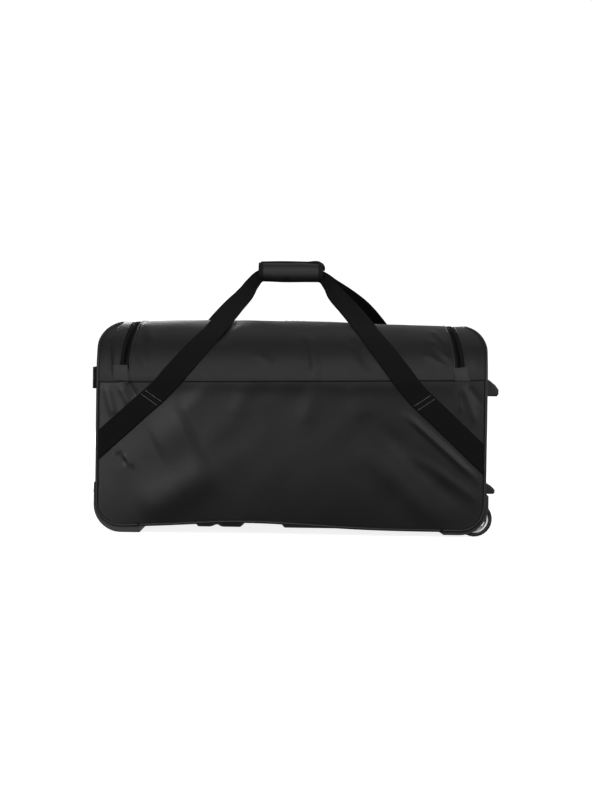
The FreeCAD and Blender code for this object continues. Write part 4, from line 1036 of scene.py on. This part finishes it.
def gripEdge():
    # The dark bound edge along the top of the sleeve, turned down at its right end.
    stops = [(wrap["left"] + 0.004, 0, wrap["tall"] - 0.0006), (-0.03, 0, wrap["tall"] + 0.0004),
             (0.02, 0, wrap["tall"] + 0.0002), (wrap["right"] - 0.005, 0, wrap["tall"] - 0.0006),
             (wrap["right"] + 0.0006, 0, wrap["tall"] - 0.006),
             (wrap["right"] + 0.0010, 0, wrap["tall"] - 0.014)]
    path = throughStops(np.array(stops) + [0, -0.0018, wrap["height"]], 90)
    piece = sweep("gripEdge", path, circle(0.0023, 10, 0.85), np.array([0, 1.0, 0]),
                  finishes["binding"])
    settled(piece, (), "handle_front")


gripEdge()
wrapHalf("gripWrapFront", -1, "grip_wrap_front", "handle_front")
wrapHalf("gripWrapRear", 1, "grip_wrap_rear", "handle_rear")
print("grip made")


grab = {"height": 0.2636, "halfWide": 0.019, "thick": 0.0024, "rows": 90, "across": 11}


def grabLoop():
    # A webbing loop on the left end: flat on the cloth at both ends, bowed out between.
    rows, across = grab["rows"], grab["across"]
    stops = [(-0.3372, -0.104), (-0.3372, -0.086), (-0.3430, -0.071), (-0.3545, -0.052),
             (-0.3582, -0.020), (-0.3582, 0.020), (-0.3545, 0.052), (-0.3430, 0.071),
             (-0.3372, 0.086), (-0.3372, 0.104)]
    line = throughStops(stops, rows)
    ahead = unit(np.gradient(line, axis=0))
    out = np.stack([-ahead[:, 1], ahead[:, 0]], 1)
    w = np.linspace(-grab["halfWide"], grab["halfWide"], across)
    z = grab["height"] + w[None] + 0 * line[:, :1]
    grid = np.concatenate([np.broadcast_to(line[:, None], (rows, across, 2)), z[..., None]], -1)
    lift = np.zeros((rows, 1, 3))
    lift[:, 0, :2] = out * grab["thick"]
    spots = along(line)
    uv = stacked(spots[:, None], w[None])
    piece = shell("sideGrabLoop", grid + lift / 2, grid - lift / 2, finishes["webbing"], uv)
    settled(piece, ["side_grab_loop"])


grabLoop()


wheel = {"x": 0.318, "y": 0.165, "z": 0.031, "radius": 0.0272, "outward": 0.0037,
         "inward": 0.0031, "halfWide": 0.0109, "square": 0.55, "grooves": 30, "slant": 260,
         "narrow": 0.72, "grooveDeep": 0.0009, "ringAt": 0.0035, "ringWide": 0.0009,
         "ringDeep": 0.0007}


def tyre(name, side, node, body):
    # A ring whose section is a rounded rectangle. The tread has slanting grooves, a dip of the
    # radius where sin(grooves turn + slant |y|) is high, and one round groove on each side.
    turns, arounds = 180, 40
    turn = np.linspace(0, 2 * math.pi, turns, endpoint=False)[:, None]
    around = np.linspace(0, 2 * math.pi, arounds, endpoint=False)[None]
    y = wheel["halfWide"] * np.sign(np.cos(around)) * np.abs(np.cos(around)) ** wheel["square"]
    tall = np.sign(np.sin(around)) * np.abs(np.sin(around)) ** wheel["square"]
    radius = wheel["radius"] + np.where(tall > 0, wheel["outward"], wheel["inward"]) * tall
    slanting = np.sin(wheel["grooves"] * turn + wheel["slant"] * np.abs(y)) > wheel["narrow"]
    ring = np.abs(np.abs(y) - wheel["ringAt"]) < wheel["ringWide"]
    radius = radius - (tall > 0.6) * (wheel["grooveDeep"] * slanting + wheel["ringDeep"] * ring)
    points = stacked(wheel["x"] + radius * np.cos(turn), side * wheel["y"] + y,
                     wheel["z"] + radius * np.sin(turn))
    piece = meshObject(name, points, [gridQuads(turns, arounds, True, True)], finishes["tyre"],
                       crisp=50)
    settled(piece, [node], body)


tyre("tyreFront", -1, "tyre_front", "wheel_front")
tyre("tyreRear", 1, "tyre_rear", "wheel_rear")
print("loop and tyres made")

# Mouldings and metal keep their own shapes and get their finishes here.
nodeFinishes = {
    "moulding": ("corner_guard", "handle_cup", "wheel_housing_front", "wheel_housing_rear",
                 "upper_foot_front", "upper_foot_rear", "lower_foot_front", "lower_foot_rear"),
    "frame": ("tube_bracket", "tube_saddles", "mouth_collars", "middle_collars",
              "lock_blocks"),
    "board": ("floor_board",),
    "grip": ("grip_upper", "grip_lower", "release_button"),
    "tube": ("outer_tubes", "middle_tubes", "inner_tubes"),
    "steel": ("lock_pins", "wheel_axles", "guard_rivets", "housing_rivets"),
    "hub": ("hub_front", "hub_rear"),
    "slider": ("zip_slider_left", "zip_slider_right", "zip_pull_left", "zip_pull_right"),
}
for word, nodes in nodeFinishes.items():
    for node in nodes:
        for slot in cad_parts[node].material_slots:
            slot.material = finishes[word]
print("finishes given to the mouldings")

# Floor, backdrop, lights and camera.
studio = {"glow": 0.85, "near": -30.0, "flat": 36.0, "bend": 1.2, "length": 54.0,
          "halfWide": 30.0, "camera": (0.070, -4.185, 0.345), "aim": (0.0075, -0.185, 0.2420),
          "roll": 0.78, "lens": 106.0}


def backdrop():
    # A floor that curves up into a wall: length goes out along the floor, then round.
    u = np.linspace(-1, 1, 31)[:, None]
    t = np.linspace(0, 1, 240)[None]
    long, flat, bend = t * studio["length"], studio["flat"], studio["bend"]
    turn = np.clip((long - flat) / bend, 0, math.pi / 2)
    y = studio["near"] + np.minimum(long, flat) + bend * np.sin(turn)
    z = -0.0005 + bend * (1 - np.cos(turn)) + np.clip(long - flat - bend * math.pi / 2, 0, None)
    x = u * studio["halfWide"] + 0 * y
    outer = stacked(x, y, z)
    lay = Finish("paleFloor", 0.9, 0.1)
    lay.feed(lay.shader.inputs["Emission Color"], (1, 1, 1, 1))
    lay.feed(lay.shader.inputs["Emission Strength"], studio["glow"])
    finish = lay.finished(lay.colour(lay.noise(lay.place(), 3.0), (0.40,) * 3, (0.44,) * 3))
    piece = shell("floor", outer, outer - [0, 0, 0.02], finish)
    piece.visible_glossy = False
    piece.visible_diffuse = False
    piece.visible_shadow = False


backdrop()


def softLight(name, spot, target, wide, tall, power):
    # An area light at a spot, facing its target; its sides are in metres, its power in watts.
    data = bpy.data.lights.new(name, "AREA")
    data.shape, data.size, data.size_y, data.energy = "RECTANGLE", wide, tall, power
    light = bpy.data.objects.new(name, data)
    light.location = spot
    light.rotation_euler = (Vector(target) - Vector(spot)).to_track_quat("-Z", "Y").to_euler()
    bpy.context.scene.collection.objects.link(light)


softLight("keyLeft", (-1.55, -4.3, 0.75), (-0.2, -0.18, 0.15), 1.1, 1.3, 70)
softLight("highFront", (0.2, -3.2, 2.2), (0, 0, 0.25), 2.4, 1.0, 40)
softLight("fillRight", (2.0, -3.5, 0.9), (0.1, 0, 0.2), 1.2, 1.4, 34)
softLight("top", (0, 0.6, 2.8), (0, 0, 0), 2.0, 1.2, 5)
softLight("rearFill", (-1.4, 3.4, 1.6), (0, 0, 0.2), 1.8, 1.6, 90)
softLight("endFill", (3.6, 0.8, 1.2), (0, 0, 0.2), 1.6, 1.6, 30)
world = bpy.data.worlds.new("studio")
world.use_nodes = True
world.node_tree.nodes["Background"].inputs["Color"].default_value = (1, 1, 1, 1)
sky = world.node_tree.nodes.new("ShaderNodeTexCoord")
height = world.node_tree.nodes.new("ShaderNodeSeparateXYZ")
level = world.node_tree.nodes.new("ShaderNodeMapRange")
level.inputs["From Min"].default_value, level.inputs["From Max"].default_value = -0.25, 0.10
level.inputs["To Min"].default_value, level.inputs["To Max"].default_value = 0.16, 0.50
world.node_tree.links.new(sky.outputs["Generated"], height.inputs[0])
world.node_tree.links.new(height.outputs["Z"], level.inputs["Value"])
world.node_tree.links.new(level.outputs["Result"],
                          world.node_tree.nodes["Background"].inputs["Strength"])
bpy.context.scene.world = world
bpy.context.scene.view_settings.view_transform = "Standard"

lens = bpy.data.cameras.new("camera")
lens.lens = studio["lens"]
lens.sensor_width = 36.0
lens.clip_end = 60.0
camera = bpy.data.objects.new("camera", lens)
camera.location = studio["camera"]
aim = (Vector(studio["aim"]) - Vector(studio["camera"])).to_track_quat("-Z", "Y")
camera.rotation_euler = (aim.to_matrix() @ Matrix.Rotation(
    math.radians(studio["roll"]), 3, "Z")).to_euler()
bpy.context.scene.collection.objects.link(camera)
bpy.context.scene.camera = camera
print("studio made")

bpy.context.view_layer.update()
